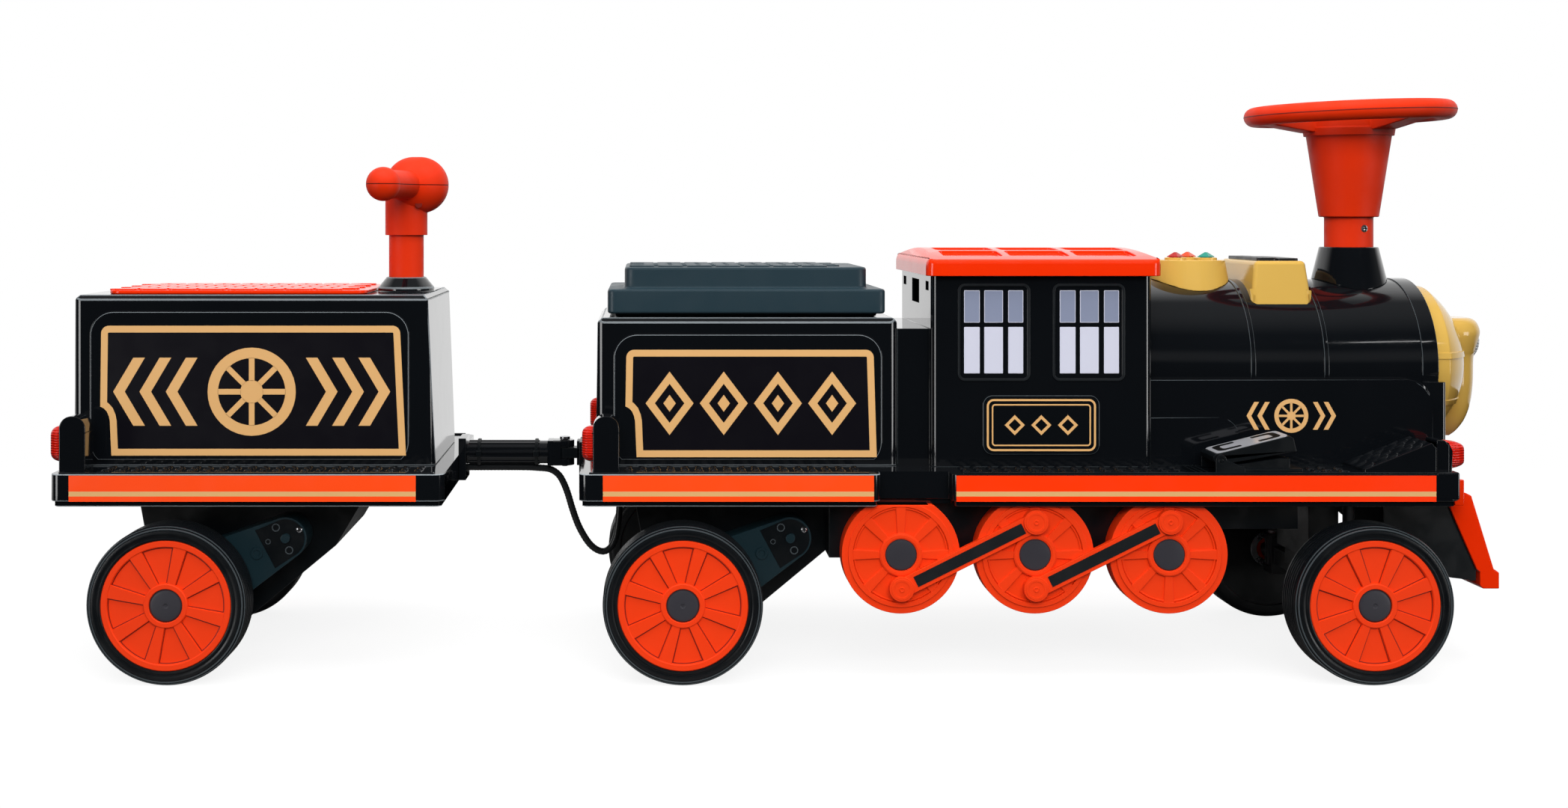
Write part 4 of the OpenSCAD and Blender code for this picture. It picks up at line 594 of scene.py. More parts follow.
def build_row_copies():
    """Copies in rows: every second row shifted, neighbours turned opposite ways."""
    tree, start = copies_group("copies_in_rows", [
        ("Columns", "whole"), ("Rows", "whole"), ("Column Pitch", "number"), ("Row Pitch", "number"),
        ("Row Shift", "number"), ("Turn", "number")])
    index = tree.nodes.new("GeometryNodeInputIndex").outputs[0]
    middle = math_node(tree, "ADD", index, 0.5)
    row = math_node(tree, "FLOOR", math_node(tree, "DIVIDE", middle, start.outputs["Columns"]))
    column = math_node(tree, "SUBTRACT", index, math_node(tree, "MULTIPLY", row, start.outputs["Columns"]))
    shift = math_node(tree, "MULTIPLY", math_node(tree, "MODULO", row, 2.0), start.outputs["Row Shift"])
    x = math_node(tree, "MULTIPLY_ADD", column, start.outputs["Column Pitch"], shift)
    y = math_node(tree, "MULTIPLY", row, start.outputs["Row Pitch"])
    odd = math_node(tree, "MODULO", math_node(tree, "ADD", row, column), 2.0)
    way = math_node(tree, "MULTIPLY_ADD", odd, -2.0, 1.0)
    turn = math_node(tree, "MULTIPLY", way, start.outputs["Turn"])
    count = math_node(tree, "MULTIPLY", start.outputs["Columns"], start.outputs["Rows"])
    return close_copies(tree, start, count, vector_node(tree, x, y), vector_node(tree, z=turn))


RING_COPIES = build_ring_copies()
ROW_COPIES = build_row_copies()


def copied(tree, part, matrix, material, **settings):
    """Runs a copies group on a part and returns the copies as one placed bmesh; frees the part."""
    bmesh.ops.recalc_face_normals(part, faces=part.faces)
    mesh = bpy.data.meshes.new("copied_part")
    part.to_mesh(mesh)
    part.free()
    source = bpy.data.objects.new("copied_part", mesh)
    holder = bpy.data.objects.new("copies", bpy.data.meshes.new("copies"))
    for obj in (source, holder):
        scene.collection.objects.link(obj)
    grow = holder.modifiers.new("copies", "NODES")
    grow.node_group = tree
    settings.update(Part=source, Finish=material)
    for item in tree.interface.items_tree:
        if item.in_out == "INPUT":
            grow[item.identifier] = settings[item.name.replace(" ", "_")]
    bpy.context.view_layer.update()
    made = final_mesh(holder)
    holder.modifiers.clear()
    empty = holder.data
    for obj in (source, holder):
        bpy.data.objects.remove(obj)
    for old in (mesh, empty):
        bpy.data.meshes.remove(old)
    made.transform(matrix)
    bm = bmesh.new()
    bm.from_mesh(made)
    bpy.data.meshes.remove(made)
    return bm


def rows(part, place, columns, count, pitch_x, pitch_y, material, shift=0.0, turn=0.0):
    """A part in rows from a place, as a bmesh."""
    return copied(ROW_COPIES, part, place, material, Columns=columns, Rows=count, Column_Pitch=pitch_x * MM,
                  Row_Pitch=pitch_y * MM, Row_Shift=shift * MM, Turn=turn)


def ring(part, centre, count, phase, material, turn=None):
    """A part in a ring about a line along Y, or as turned, as a bmesh."""
    place = Matrix.Translation(Vector(centre) * MM)
    return copied(RING_COPIES, part, place @ turn if turn else place, material, Count=count, Phase=phase)


# Cable between wagon and tender: the route of its solid, under the drawbar, down in a loop and up

CABLE_D = 9.4
CABLE_RUN_Z = 242.5
CABLE_LOOP = ((-60, 0), (-36, -1), (-20, -3), (-9, -10), (-2, -21), (4, -36), (10, -56), (17, -76), (25, -92),
              (34, -105), (44, -113), (54, -115), (63, -109), (69, -97), (72, -82), (74, -64), (75, -44),
              (75, -20))
CABLE_ROUTE = [(WAGON_X1 + 10, CABLE_RUN_Z), *((HITCH_X + x, CABLE_RUN_Z + z) for x, z in CABLE_LOOP),
               (HITCH_X + 75, 258.0)]


def smooth_route(points, step=2.0):
    """Points every few millimetres on a smooth line through the route."""
    out = []
    n = len(points)
    for i in range(n - 1):
        p0, p1, p2, p3 = (Vector(points[min(max(k, 0), n - 1)]) for k in (i - 1, i, i + 1, i + 2))
        count = max(1, int((p2 - p1).length / step))
        for k in range(count):
            t = k / count
            out.append(0.5 * (2 * p1 + (p2 - p0) * t + (2 * p0 - 5 * p1 + 4 * p2 - p3) * t * t
                              + (3 * p1 - p0 - 3 * p2 + p3) * t ** 3))
    out.append(Vector(points[-1]))
    return out


def cable_piece():
    """The sleeved cable: a tube with shallow rings along it."""
    route = smooth_route(CABLE_ROUTE)
    bm = bmesh.new()
    rings = []
    sides = 14
    for i, p in enumerate(route):
        along = (route[min(i + 1, len(route) - 1)] - route[max(i - 1, 0)]).normalized()
        up = Vector((-along.y, along.x))
        r = CABLE_D / 2 * (1.0 if i % 2 else 0.94)
        rings.append([bm.verts.new(((p.x + up.x * r * math.cos(a)) * MM, r * math.sin(a) * MM,
                                    (p.y + up.y * r * math.cos(a)) * MM))
                      for a in (2 * math.pi * k / sides for k in range(sides))])
    bridge(bm, rings)
    bmesh.ops.recalc_face_normals(bm, faces=bm.faces)
    mesh = bpy.data.meshes.new("hitch_cable")
    bm.to_mesh(mesh)
    bm.free()
    dress(mesh, [FINISHES["cable_sleeve"]], 50.0)
    obj = bpy.data.objects.new("hitch_cable", mesh)
    scene.collection.objects.link(obj)
    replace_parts(obj, "cable")
    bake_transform(obj)


cable_piece()


# Mouldings that keep the shape of their solids

for node, body, slot, edge, steps in (
        ("wagon_seat", "wagon", "red_gloss", 1.6, 3),
        ("wagon_underframe", "wagon", "frame_black", 0.8, 2),
        ("drawbar", "wagon", "gloss_black", 0.8, 2),
        ("loco_underframe", "loco", "frame_black", 0.8, 2),
        ("tender_seat", "loco", "seat_black", 3.5, 3),
        ("smokebox_door", "loco", "cream_gloss", 1.0, 2),
        ("headlamp_lens", "loco", "clear_lens", 0.3, 2),
        ("button_pod", "loco", "cream_gloss", 1.2, 2),
        ("funnel_base", "loco", "gloss_black", 1.5, 3),
        ("cowcatcher", "loco", "red_gloss", 1.2, 2),
        ("wheel_trims", "loco", "red_satin", 0.6, 2),
        ("hitch_bracket", "loco", "frame_black", 1.0, 2),
        ("pivot_pins", "loco", "bright_steel", 0.6, 2),
        ("front_axle_beam", "loco", "painted_steel", 0.8, 2),
        ("knuckle_right", "knuckle_right", "painted_steel", 0.6, 2),
        ("knuckle_left", "knuckle_left", "painted_steel", 0.6, 2),
        ("tie_rod", "tie_rod", "painted_steel", 0.8, 2)):
    moulded(node, body, slot, edge, steps)


def deck_rim(p):
    """The rims of wagon and tender, and not their lamp housings: edges that get a painted highlight."""
    return p.z < DECK_Z + 3.0 and abs(p.y) > 100.0 and p.x < ENGINE_X0


LAMP_IN = 9.5


def tender_lamps_in(p):
    """The tender's tail lamps stand a little further in than the wagon's."""
    along = TENDER_X0 + 6.0 < p.x < TENDER_X0 + 42.0
    return LAMP_IN if along and 157.0 < abs(p.y) < 193.0 and p.z > DECK_Z - 0.5 else 0.0


# The deck rims of wagon and tender get a pale painted highlight on their rounded edges.
for node, body in (("wagon_deck", "wagon"), ("loco_deck", "loco")):
    moulded(node, body, "gloss_black", sheen=painted_rim_highlight, shines=deck_rim, nudge=tender_lamps_in)

for node, body, slot, edge, steps, material in (
        ("handle_post", "wagon", "red_satin", 0.6, 2, red_grip),
        ("handle_lower_shell", "wagon", "red_satin", 0.5, 2, red_handle),
        ("handle_upper_shell", "wagon", "red_satin", 0.5, 2, red_handle),
        ("steering_cone", "steering", "red_satin", 1.6, 3, red_grip),
        ("steering_wheel", "steering", "red_satin", 1.5, 3, red_grip),
        ("wagon_gearcases", "wagon", "frame_black", 0.8, 2, lit_case_black),
        ("tender_gearcases", "loco", "frame_black", 0.8, 2, lit_case_black),
        ("pedal_base", "loco", "frame_black", 1.0, 2, None),
        ("pedal_plate", "pedal", "frame_black", 1.2, 2, None)):
    moulded(node, body, slot, edge, steps, material=material)


def above_saddle(p):
    """All of the boiler but the front end of its saddle and the cheeks of the door: the edges that get a
    painted highlight.
    """
    return p.x < 790.0 or p.z > 374.0


# Cab and boiler: their outer edges take a faint painted highlight.
moulded("cab_shell", "loco", "gloss_black", 0.7, sheen=painted_soft_highlight)
moulded("boiler_shell", "loco", "gloss_black", 0.7, sheen=painted_soft_highlight, shines=above_saddle)


def box_edge(p):
    """Small on the raised fields, larger on the box itself."""
    return 0.8 if abs(p.y) > BOX_W + 0.6 else 1.5


def pod_edge(p):
    """Large round the pod, none where it meets the boiler."""
    return 0.0 if math.hypot(p.y, p.z - BOILER_Z) < BOILER_R + 2.5 else 5.5


def roof_edge(p):
    """Large round the outside of the roof, small in its sunk fields."""
    outside = abs(p.y) > 146.0 or p.x < CAB_X0 - 2.0 or p.x > CAB_X1 + 5.0
    return 5.0 if outside and p.z > 512.0 else 1.0


# Boxes: their outer edges take a pale painted highlight.
moulded("wagon_box", "wagon", "gloss_black", steps=3, place=box_edge, sheen=painted_edge_highlight)
moulded("tender_box", "loco", "gloss_black", steps=3, place=box_edge, sheen=painted_edge_highlight)
moulded("media_pod", "loco", "cream_gloss", steps=4, place=pod_edge)
moulded("cab_roof_seat", "loco", "red_gloss", steps=4, place=roof_edge)


LENS_Y, LENS_W, LENS_DOME, LENS_LEVELS = 175.0, 26.0, 9.0, 8
TAIL_LENS_Z, FRONT_LENS_Z = (274.0, 320.0), (264.0, 302.0)
SHROUD_Y, SHROUD_W, SHROUD_BACK, SHROUD_FRONT = 158.5, 33.0, ENGINE_X1 - 24.0, ENGINE_X1 - 4.0
CORNER_Y, CORNER_Z = (186.0, 206.2), (229.5, 264.5)


def domed_lens(bm, x0, x1, y, z0, z1):
    """An upright pill from x0 to its dome at x1."""
    loops = []
    for k in range(LENS_LEVELS + 1):
        t = math.sin(math.pi / 2 * k / LENS_LEVELS)
        gap = LENS_DOME * (1 - math.sqrt(max(0.0, 1 - t * t)))
        half = LENS_W / 2 - gap
        outline = oblong(y - half, y + half, z0 + gap, z1 - gap, half * 0.97, 8)
        loops.append([bm.verts.new(((x0 + (x1 - x0) * t) * MM, a * MM, b * MM)) for a, b in outline])
    bridge(bm, loops)


def lamps():
    """Tail and front lamps, with the shrouds and deck corners of the front ones."""
    wagon_bm, loco_bm, shrouds = bmesh.new(), bmesh.new(), bmesh.new()
    for side in (RIGHT, LEFT):
        y = side * LENS_Y
        for bm, x in ((wagon_bm, WAGON_X0), (loco_bm, TENDER_X0 + LAMP_IN)):
            domed_lens(bm, x + 7.5, x - 6.5, y, *TAIL_LENS_Z)
        domed_lens(loco_bm, ENGINE_X1 - 18.0, ENGINE_X1 + 16.0, y, *FRONT_LENS_Z)
        outline = rounded([(SHROUD_BACK, DECK_Z), (SHROUD_FRONT, DECK_Z), (SHROUD_FRONT, 289.0),
                           (SHROUD_FRONT - 5.0, 300.0), (SHROUD_BACK, 303.5)], [0, 0, 8, 5, 3])
        add_bm(shrouds, prism(outline, SHROUD_W, on_side(side, SHROUD_Y), None, 2.0))
        add_bm(shrouds, side_block(side, 799.0, ENGINE_X1 - 1.0, *CORNER_Y, *CORNER_Z, 2.5, 3))
    make_piece("front_lamp_shrouds", shrouds, "loco", "gloss_black")
    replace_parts(make_piece("wagon_tail_domes", wagon_bm, "wagon", "red_lens", crease=50.0), "wagon_lenses")
    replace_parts(make_piece("loco_lamp_domes", loco_bm, "loco", "red_lens", crease=50.0), "marker_lenses")


lamps()

# Half widths of the lamp hood, by height from the boiler's middle
HOOD = [(2, 60), (18, 60), (28, 59.4), (36, 54), (40.5, 42), (39, 30), (35, 16), (32.3, 5), (31.5, -29),
        (28, -57), (21, -78), (11, -93), (2, -101)]
HOOD_X, HOOD_DEPTH, LAMP_Z, LAMP_R = 903.0, 48.0, 415.0, 24.2


def hood():
    """The pear-shaped lamp hood: round to the front, straight back into the door, bored for the lens."""
    bm = bmesh.new()
    loops = []
    for r, z in smooth_route(HOOD, 2.5):
        r = max(1.5, r)
        angles = [math.pi * (k / 32 - 0.5) for k in range(33)]
        arc = [(HOOD_X + r * math.cos(a), r * math.sin(a)) for a in angles]
        outline = [(HOOD_X - HOOD_DEPTH, -r)] + arc + [(HOOD_X - HOOD_DEPTH, r)]
        loops.append([bm.verts.new((x * MM, y * MM, (BOILER_Z + z) * MM)) for x, y in outline])
    bridge(bm, loops)
    bmesh.ops.recalc_face_normals(bm, faces=bm.faces)
    bore = bmesh.new()
    bmesh.ops.create_cone(bore, cap_ends=True, segments=64, radius1=LAMP_R * MM, radius2=LAMP_R * MM,
                          depth=40 * MM)
    bore.transform(at(HOOD_X + 44.5, 0, LAMP_Z) @ Matrix.Rotation(math.pi / 2, 4, "Y"))
    solids = []
    for name, part in (("hood_solid", bm), ("hood_bore", bore)):
        mesh = bpy.data.meshes.new(name)
        part.to_mesh(mesh)
        part.free()
        solids.append(bpy.data.objects.new(name, mesh))
        scene.collection.objects.link(solids[-1])
    cut = solids[0].modifiers.new("bore", "BOOLEAN")
    cut.operation = "DIFFERENCE"
    cut.object = solids[1]
    bpy.context.view_layer.update()
    made = final_mesh(solids[0])
    for obj in solids:
        old = obj.data
        bpy.data.objects.remove(obj)
        bpy.data.meshes.remove(old)
    bored = bmesh.new()
    bored.from_mesh(made)
    bpy.data.meshes.remove(made)
    piece = make_piece("headlamp_hood_smooth", bored, "loco", "cream_gloss", crease=45.0)
    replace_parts(piece, "headlamp_hood")


hood()

# Hidden solids that stay as they are
for node, slot in (("wagon_axle", "bright_steel"), ("tender_axle", "bright_steel"),
                   ("wagon_motors", "bright_steel"), ("tender_motors", "bright_steel"),
                   ("steering_shaft", "bright_steel"), ("battery", "battery_grey")):
    nodes[node].data.materials.clear()
    nodes[node].data.materials.append(FINISHES[slot])


# Road wheels

def tyre_profile():
    """Half section of a tyre: ribbed tread, round shoulders with two ridges and a beaded sidewall."""
    inner = [(81.3, -25.6), (83.2, -26.8), (91.5, -26.8), (94.5, -26.0), (97.4, -24.4), (99.2, -22.2),
             (100.0, -19.0)]
    tread = []
    for h in (-16.0, -9.6, -3.2, 3.2, 9.6, 16.0):
        tread += [(100.0, h - 1.9), (97.4, h - 1.2), (97.4, h + 1.2), (100.0, h + 1.9)]
    outer = [(100.0, 19.4), (99.3, 21.8), (98.4, 22.9), (97.0, 22.7), (96.4, 24.4), (95.2, 25.3),
             (93.8, 25.0), (93.2, 26.0), (91.0, 26.5), (88.4, 26.3), (86.6, 25.2), (85.8, 25.2),
             (84.9, 26.4), (83.4, 26.6), (82.2, 26.2), (81.3, 25.2)]
    return inner + tread + outer


# Half sections of a wheel as (radius, outward), from its middle plane
DISC_PROFILE = [(0, 22), (20.8, 22), (20.8, 25.3), (21.6, 26.2), (26.6, 26.2), (27.6, 25.4), (28.4, 22.4),
                (72.4, 22.4), (73.2, 25.3), (74.2, 26.0), (80.2, 26.0), (81.2, 25.0), (81.2, -24.6),
                (74, -24.6), (74, -19), (17, -19), (17, -10), (0, -10)]
CAP_PROFILE = [(0, 24.9), (2.0, 24.9), (2.7, 25.5), (3.6, 25.9), (15.5, 25.7), (18.8, 24.9), (20.4, 23.4),
               (20.6, 21.5), (0, 21.5)]
COVER_PROFILE = [(17, -18.5), (73.8, -18.5), (73.8, -24.7), (81.0, -24.7), (81.2, -25.3), (60, -25.6),
                 (34, -25.8), (28.5, -26.6), (17, -26.6)]
WASHER_PROFILE = [(17.5, -26.4), (17.5, -27.1), (25.4, -27.1), (26.0, -26.4)]
GROOVE_PROFILE = [(71.4, 22.2), (71.4, 22.75), (72.9, 23.0), (72.9, 22.2)]
RIDGE_PROFILES = ([(98.9, 22.0), (98.6, 23.1), (97.6, 23.1), (97.2, 22.3)],
                  [(96.1, 24.6), (95.6, 25.5), (94.4, 25.4), (94.0, 24.7)])
SPOKES = 8


def wheel_spoke(side, r0, r1, w0, w1, low, high, lean=1.1):
    """One raised spoke, wider at the rim, with sloping flanks."""
    bm = bmesh.new()
    loops = []
    for out, gap in ((low, 0.0), (high, lean)):
        corners = ((r0, gap - w0 / 2), (r1, gap - w1 / 2), (r1, w1 / 2 - gap), (r0, w0 / 2 - gap))
        loops.append([bm.verts.new((r * MM, side * out * MM, z * MM)) for r, z in corners])
    bridge(bm, loops)
    return bm


def road_wheel(axle_x, prefix, side, hand, phase):
    """A tyre with pale ridge lines of painted highlight, a spoked disc with dark borders of painted shade,
    washer, hub cap and inner cover.
    """
    body = f"{prefix}_wheel_{hand}"
    centre = (axle_x, side * (TRACK - TYRE_W / 2), WHEEL_R)
    first = math.radians(phase)
    name = f"{prefix}_{hand}"
    tyre = lathe(tyre_profile(), centre, side, 128)
    tyre = make_piece(f"{name}_tyre_ribbed", tyre, body, "tyre_rubber", crease=28.0)
    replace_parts(tyre, f"{prefix}_tyre_{hand}")
    disc = lathe(DISC_PROFILE, centre, side)
    spoke = wheel_spoke(side, 27.0, 73.6, 12.0, 18.5, 21.5, 25.1)
    add_bm(disc, ring(spoke, centre, SPOKES, first, FINISHES["red_satin"]))
    disc = make_piece(f"{name}_disc_spoked", disc, body, "red_satin", crease=28.0)
    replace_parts(disc, f"{prefix}_disc_{hand}")
    # Dark red borders along each spoke and a groove ring near the rim: painted shade.
    spoke_shade = wheel_spoke(side, 28.0, 73.0, 13.6, 20.4, 22.0, 22.75, 0.2)
    spoke_shades = ring(spoke_shade, centre, SPOKES, first, painted_shade_red)
    add_bm(spoke_shades, lathe(GROOVE_PROFILE, centre, side))
    make_piece(f"{name}_disc_lines", spoke_shades, body, None, painted_shade_red)
    make_piece(f"{name}_hub_washer", lathe(WASHER_PROFILE, centre, side, 48), body, "bright_steel")
    # Two ridges on each tyre's sidewall, pale as a painted highlight.
    lines = bmesh.new()
    for profile in RIDGE_PROFILES:
        add_bm(lines, lathe(profile, centre, side, 128))
    make_piece(f"{name}_tyre_lines", lines, body, None, painted_soft_highlight, crease=50.0)
    make_piece(f"{name}_hub_cap", lathe(CAP_PROFILE, centre, side, 64), body, None, cap_grey, crease=28.0)
    cover = lathe(COVER_PROFILE, centre, side, 64)
    make_piece(f"{name}_inner_cover", cover, body, None, FINISHES["frame_black"])


for side, hand in SIDES:
    road_wheel(WAGON_AXLE, "wagon", side, hand, 31.0)
    road_wheel(TENDER_AXLE, "tender", side, hand, 27.4)
    road_wheel(FRONT_AXLE, "front", side, hand, 22.0)


# False driving wheels: caps, pin dimples and the dark inlays of the rods

TRIM_CAP = [(0, 0.9), (15, 0.8), (18.4, 0.2), (19.6, -1.2), (19.6, -2.2), (0, -2.2)]
TRIM_RIM = [(57.0, -3.2), (57.6, -2.3), (58.6, -2.1), (59.4, -2.6), (59.8, -3.4)]
TRIM_HUB = [(21.2, -0.4), (21.8, 0.7), (25.4, 0.7), (26.4, -0.4)]
PIN_RING = [(9.4, -0.6), (10.0, 0.5), (12.8, 0.5), (13.6, -0.6)]
PIN_DIMPLE = [(0, 0.2), (1.4, 0.2), (2.0, 0.8), (3.0, 0.8), (3.8, -0.4), (0, -0.4)]


def wheel_trim_details(side, hand):
    """What stands on the false wheels and rods of one side."""
    caps, inlays, rings = bmesh.new(), bmesh.new(), bmesh.new()
    lean = math.atan2(2 * CRANK, TRIM_PITCH)
    along = Vector((math.cos(lean), math.sin(lean)))
    across = Vector((-along.y, along.x))
    for k in range(3):
        centre = (TRIM_X + k * TRIM_PITCH, side * TRIM_FACE, TRIM_Z)
        add_bm(caps, lathe(TRIM_CAP, centre, side, 64))
        add_bm(rings, lathe(TRIM_RIM, centre, side))
        add_bm(rings, lathe(TRIM_HUB, centre, side, 64))
    for k in range(2):
        start = Vector((TRIM_X + k * TRIM_PITCH, TRIM_Z - CRANK))
        corners = [start + along * a + across * b for a, b in ((20, -7), (171, -7), (171, 7), (20, 7))]
        add_bm(inlays, prism([tuple(c) for c in corners], 0.5, on_side(side, TRIM_FACE + 4)))
        for p in (start, start + Vector((TRIM_PITCH, 2 * CRANK))):
            centre = (p.x, side * (TRIM_FACE + 7), p.y)
            add_bm(rings, lathe(PIN_RING, centre, side, 48))
            add_bm(rings, lathe(PIN_DIMPLE, centre, side, 32))
    make_piece(f"trim_caps_{hand}", caps, "loco", None, cap_grey, crease=28.0)
    make_piece(f"rod_inlays_{hand}", inlays, "loco", None, inlay_black)
    make_piece(f"trim_rings_{hand}", rings, "loco", "red_satin", crease=28.0)


for side, hand in SIDES:
    wheel_trim_details(side, hand)


# Lining: stripes on the skirts, gold frames round the boxes' fields and ornaments

NOTCH = [(0, 0), (5.0, -2.6), (8.6, -6.6), (11.2, -13.0), (12.4, -19.0), (13.2, -38.0)]
LINING_W, FIELD_IN, FIELD_H, PRINT_H = 8.8, 4.0, 0.12, 0.3
# Unit, body, and the frame's left, right, lean, lower and upper edge and height of its notch
LINING_FRAMES = (("wagon", "wagon", (-894.5, -508.5, 7.8, 275.4, 443.3, 338.8)),
                 ("tender", "loco", (-215.8, 103.5, 4.2, 273.4, 412.2, 339.0)))
# Unit, body, the ends of its stripes and their red
STRIPE_RUNS = (("wagon", "wagon", -912.5, -478.5, red_print), ("tender", "loco", -244.5, 94.5, red_print),
               ("engine", "loco", 197.5, 797.5, deep_print))


def lining_frame(left, right, lean, z0, z1, notch_z):
    """A frame with round upper corners that steps in beside the lamp at the lower left."""
    step = [(left - 1.2 + x, notch_z + z) for x, z in NOTCH]
    corners = [(step[-1][0] + 1.2, z0), (right + lean, z0), (right, z1), (left, z1)] + step
    outline = rounded(corners, [0, 0, 10, 10] + [0] * len(step))
    return outline, inset_outline(outline, LINING_W)


def chevron(x, z, h, t, d):
    """An arrow-shaped bar of thickness t that points by d."""
    low, high = z - h / 2, z + h / 2
    if d > 0:
        return [(x, low), (x + t, low), (x + t + d, z), (x + t, high), (x, high), (x + d, z)]
    return [(x, low), (x + d, z), (x, high), (x - t, high), (x - t + d, z), (x - t, low)]


def lozenge(x, z, w, h):
    """An upright lozenge."""
    return [(x - w / 2, z), (x, z - h / 2), (x + w / 2, z), (x, z + h / 2)]


def lozenge_ring(x, z, w, h, t):
    """A lozenge with a hole that leaves a rim of thickness t."""
    outline = lozenge(x, z, w, h)
    return outline, inset_outline(outline, t)


def wheel_mark(x, z, r, t):
    """A wheel seen from its side: ring, hub and eight spokes."""
    shapes = [(disc_outline(x, z, r), disc_outline(x, z, r - t)), disc_outline(x, z, r * 0.26, 28)]
    for k in range(8):
        a = math.pi * k / 4
        along, across = Vector((math.cos(a), math.sin(a))), Vector((-math.sin(a), math.cos(a)))
        w = t * 0.27
        shapes.append([tuple(Vector((x, z)) + along * p + across * q) for p, q in
                       ((r * 0.25, -w), (r - t + 0.3, -w), (r - t + 0.3, w), (r * 0.25, w))])
    return shapes


def wheel_and_chevrons(x, z, r, t, count, first, pitch, h, bar, point):
    """A wheel between chevrons that point away from it."""
    shapes = wheel_mark(x, z, r, t)
    for k in range(count):
        away = first + k * pitch
        shapes.append(chevron(x + away, z, h, bar, point))
        shapes.append(chevron(x - away, z, h, bar, -point))
    return shapes


def lining(side, hand):
    """Stripes, frames with their dark fields, and ornaments of one side."""
    face = BOX_W + 2
    for unit, body, x0, x1, red in STRIPE_RUNS:
        for part, material, z0, z1 in (("upper_stripe", red, 240.6, 260.5),
                                       ("gold_stripe", gold_print, 234.4, 240.6),
                                       ("lower_stripe", red, 227.9, 234.4)):
            stripe = oblong(x0, x1, z0, z1)
            printed(f"{unit}_{part}_{hand}", [stripe], side, DECK_W, PRINT_H, material, body)
    for unit, body, place in LINING_FRAMES:
        printed(f"{unit}_lining_{hand}", [lining_frame(*place)], side, face, 0.35, gold_print, body)
    for unit, body, place in LINING_FRAMES:
        field = inset_outline(lining_frame(*place)[0], FIELD_IN)
        printed(f"{unit}_field_{hand}", [field], side, face, FIELD_H, dark_print, body)
    mark = wheel_and_chevrons(-700.0, 358.0, 57.0, 13.5, 3, 70.0, 34.0, 88.0, 15.0, 26.0)
    printed(f"wagon_ornament_{hand}", mark, side, face + FIELD_H, PRINT_H, gold_print, "wagon")
    mark = []
    for k in range(4):
        x = -160.0 + k * 70.0
        mark.append(lozenge_ring(x, 343.0, 62.0, 82.0, 9.5))
        mark.append(lozenge(x, 343.0, 16.0, 22.0))
    printed(f"tender_ornament_{hand}", mark, side, face + FIELD_H, PRINT_H, gold_print, "loco")
    mark = wheel_and_chevrons(646.0, 326.0, 22.0, 5.5, 2, 28.0, 14.0, 36.0, 6.0, 10.0)
    printed(f"boiler_ornament_{hand}", mark, side, SADDLE_W + 0.8, PRINT_H, gold_print, "loco")


for side, hand in SIDES:
    lining(side, hand)


# Cab: panes, window surrounds and the framed plate

PANE_COLUMNS, PANE_PITCH = ((219.4, 239.6), (245.4, 269.5), (276.3, 295.6)), 123.4
UPPER_PANES, LOWER_PANES = (447.8, 489.3), (382.3, 442.1)
WINDOW_X0, WINDOW_PITCH = 214.3, 122.2
PLATE_X0, PLATE_X1, PLATE_Z0, PLATE_Z1 = 243.5, 393.0, 278.0, 354.0


def cab_sides(side, hand):
    """Two windows of six panes, and the frames and lozenges on the plate below them."""
    surround = bmesh.new()
    upper, lower, edges = [], [], []
    for k in range(2):
        for a, b in PANE_COLUMNS:
            a, b = a + k * PANE_PITCH, b + k * PANE_PITCH
            for (z0, z1), panes in ((UPPER_PANES, upper), (LOWER_PANES, lower)):
                panes.append(oblong(a + 0.8, b - 0.8, z0 + 0.8, z1 - 0.8, 0.5, 2))
                edges.append(oblong(a, b, z0, z1, 0.8, 2))
        x0 = WINDOW_X0 + k * WINDOW_PITCH
        rim = oblong(x0 - 3.2, x0 + 89.9, 372.5, 498.2, 9.0)
        add_bm(surround, prism(rim, 1.3, on_side(side, CAB_W - 0.2), inset_outline(rim, 3.4), 0.6))
    make_piece(f"window_surrounds_{hand}", surround, "loco", None, lit_rim_black)
    floor = CAB_W - 1.5
    printed(f"pane_edges_{hand}", edges, side, floor, 0.2, pane_light, "loco")
    printed(f"upper_panes_{hand}", upper, side, floor + 0.2, 0.15, pane_grey, "loco")
    printed(f"lower_panes_{hand}", lower, side, floor + 0.2, 0.15, pane_light, "loco")
    face = CAB_W + 2
    frames = []
    for inset, width in ((4.5, 2.6), (11.0, 1.8)):
        outline = oblong(PLATE_X0 + inset, PLATE_X1 - inset, PLATE_Z0 + inset, PLATE_Z1 - inset,
                         max(3.0, 12.0 - inset * 0.7))
        frames.append((outline, inset_outline(outline, width)))
    for k in range(3):
        frames.append(lozenge_ring(284.0 + k * 34.2, 316.0, 26.0, 26.0, 3.6))
    printed(f"name_plate_frames_{hand}", frames, side, face, PRINT_H, gold_print, "loco")


for side, hand in SIDES:
    cab_sides(side, hand)


# Running boards: raised lugs, beads along the edges and the treads of the foot rests

def tread_lug(length, width, height):
    """A lens-shaped lug, highest in the middle."""
    bm = bmesh.new()
    count = 12
    foot, head = [], []
    for k in range(count):
        a = 2 * math.pi * k / count
        x, y = math.cos(a), math.sin(a)
        y *= 1 - 0.45 * abs(x)
        foot.append(bm.verts.new((x * length / 2 * MM, y * width / 2 * MM, -0.3 * MM)))
        head.append(bm.verts.new((x * length * 0.36 * MM, y * width * 0.26 * MM, height * MM)))
    bridge(bm, [foot, head])
    return bm


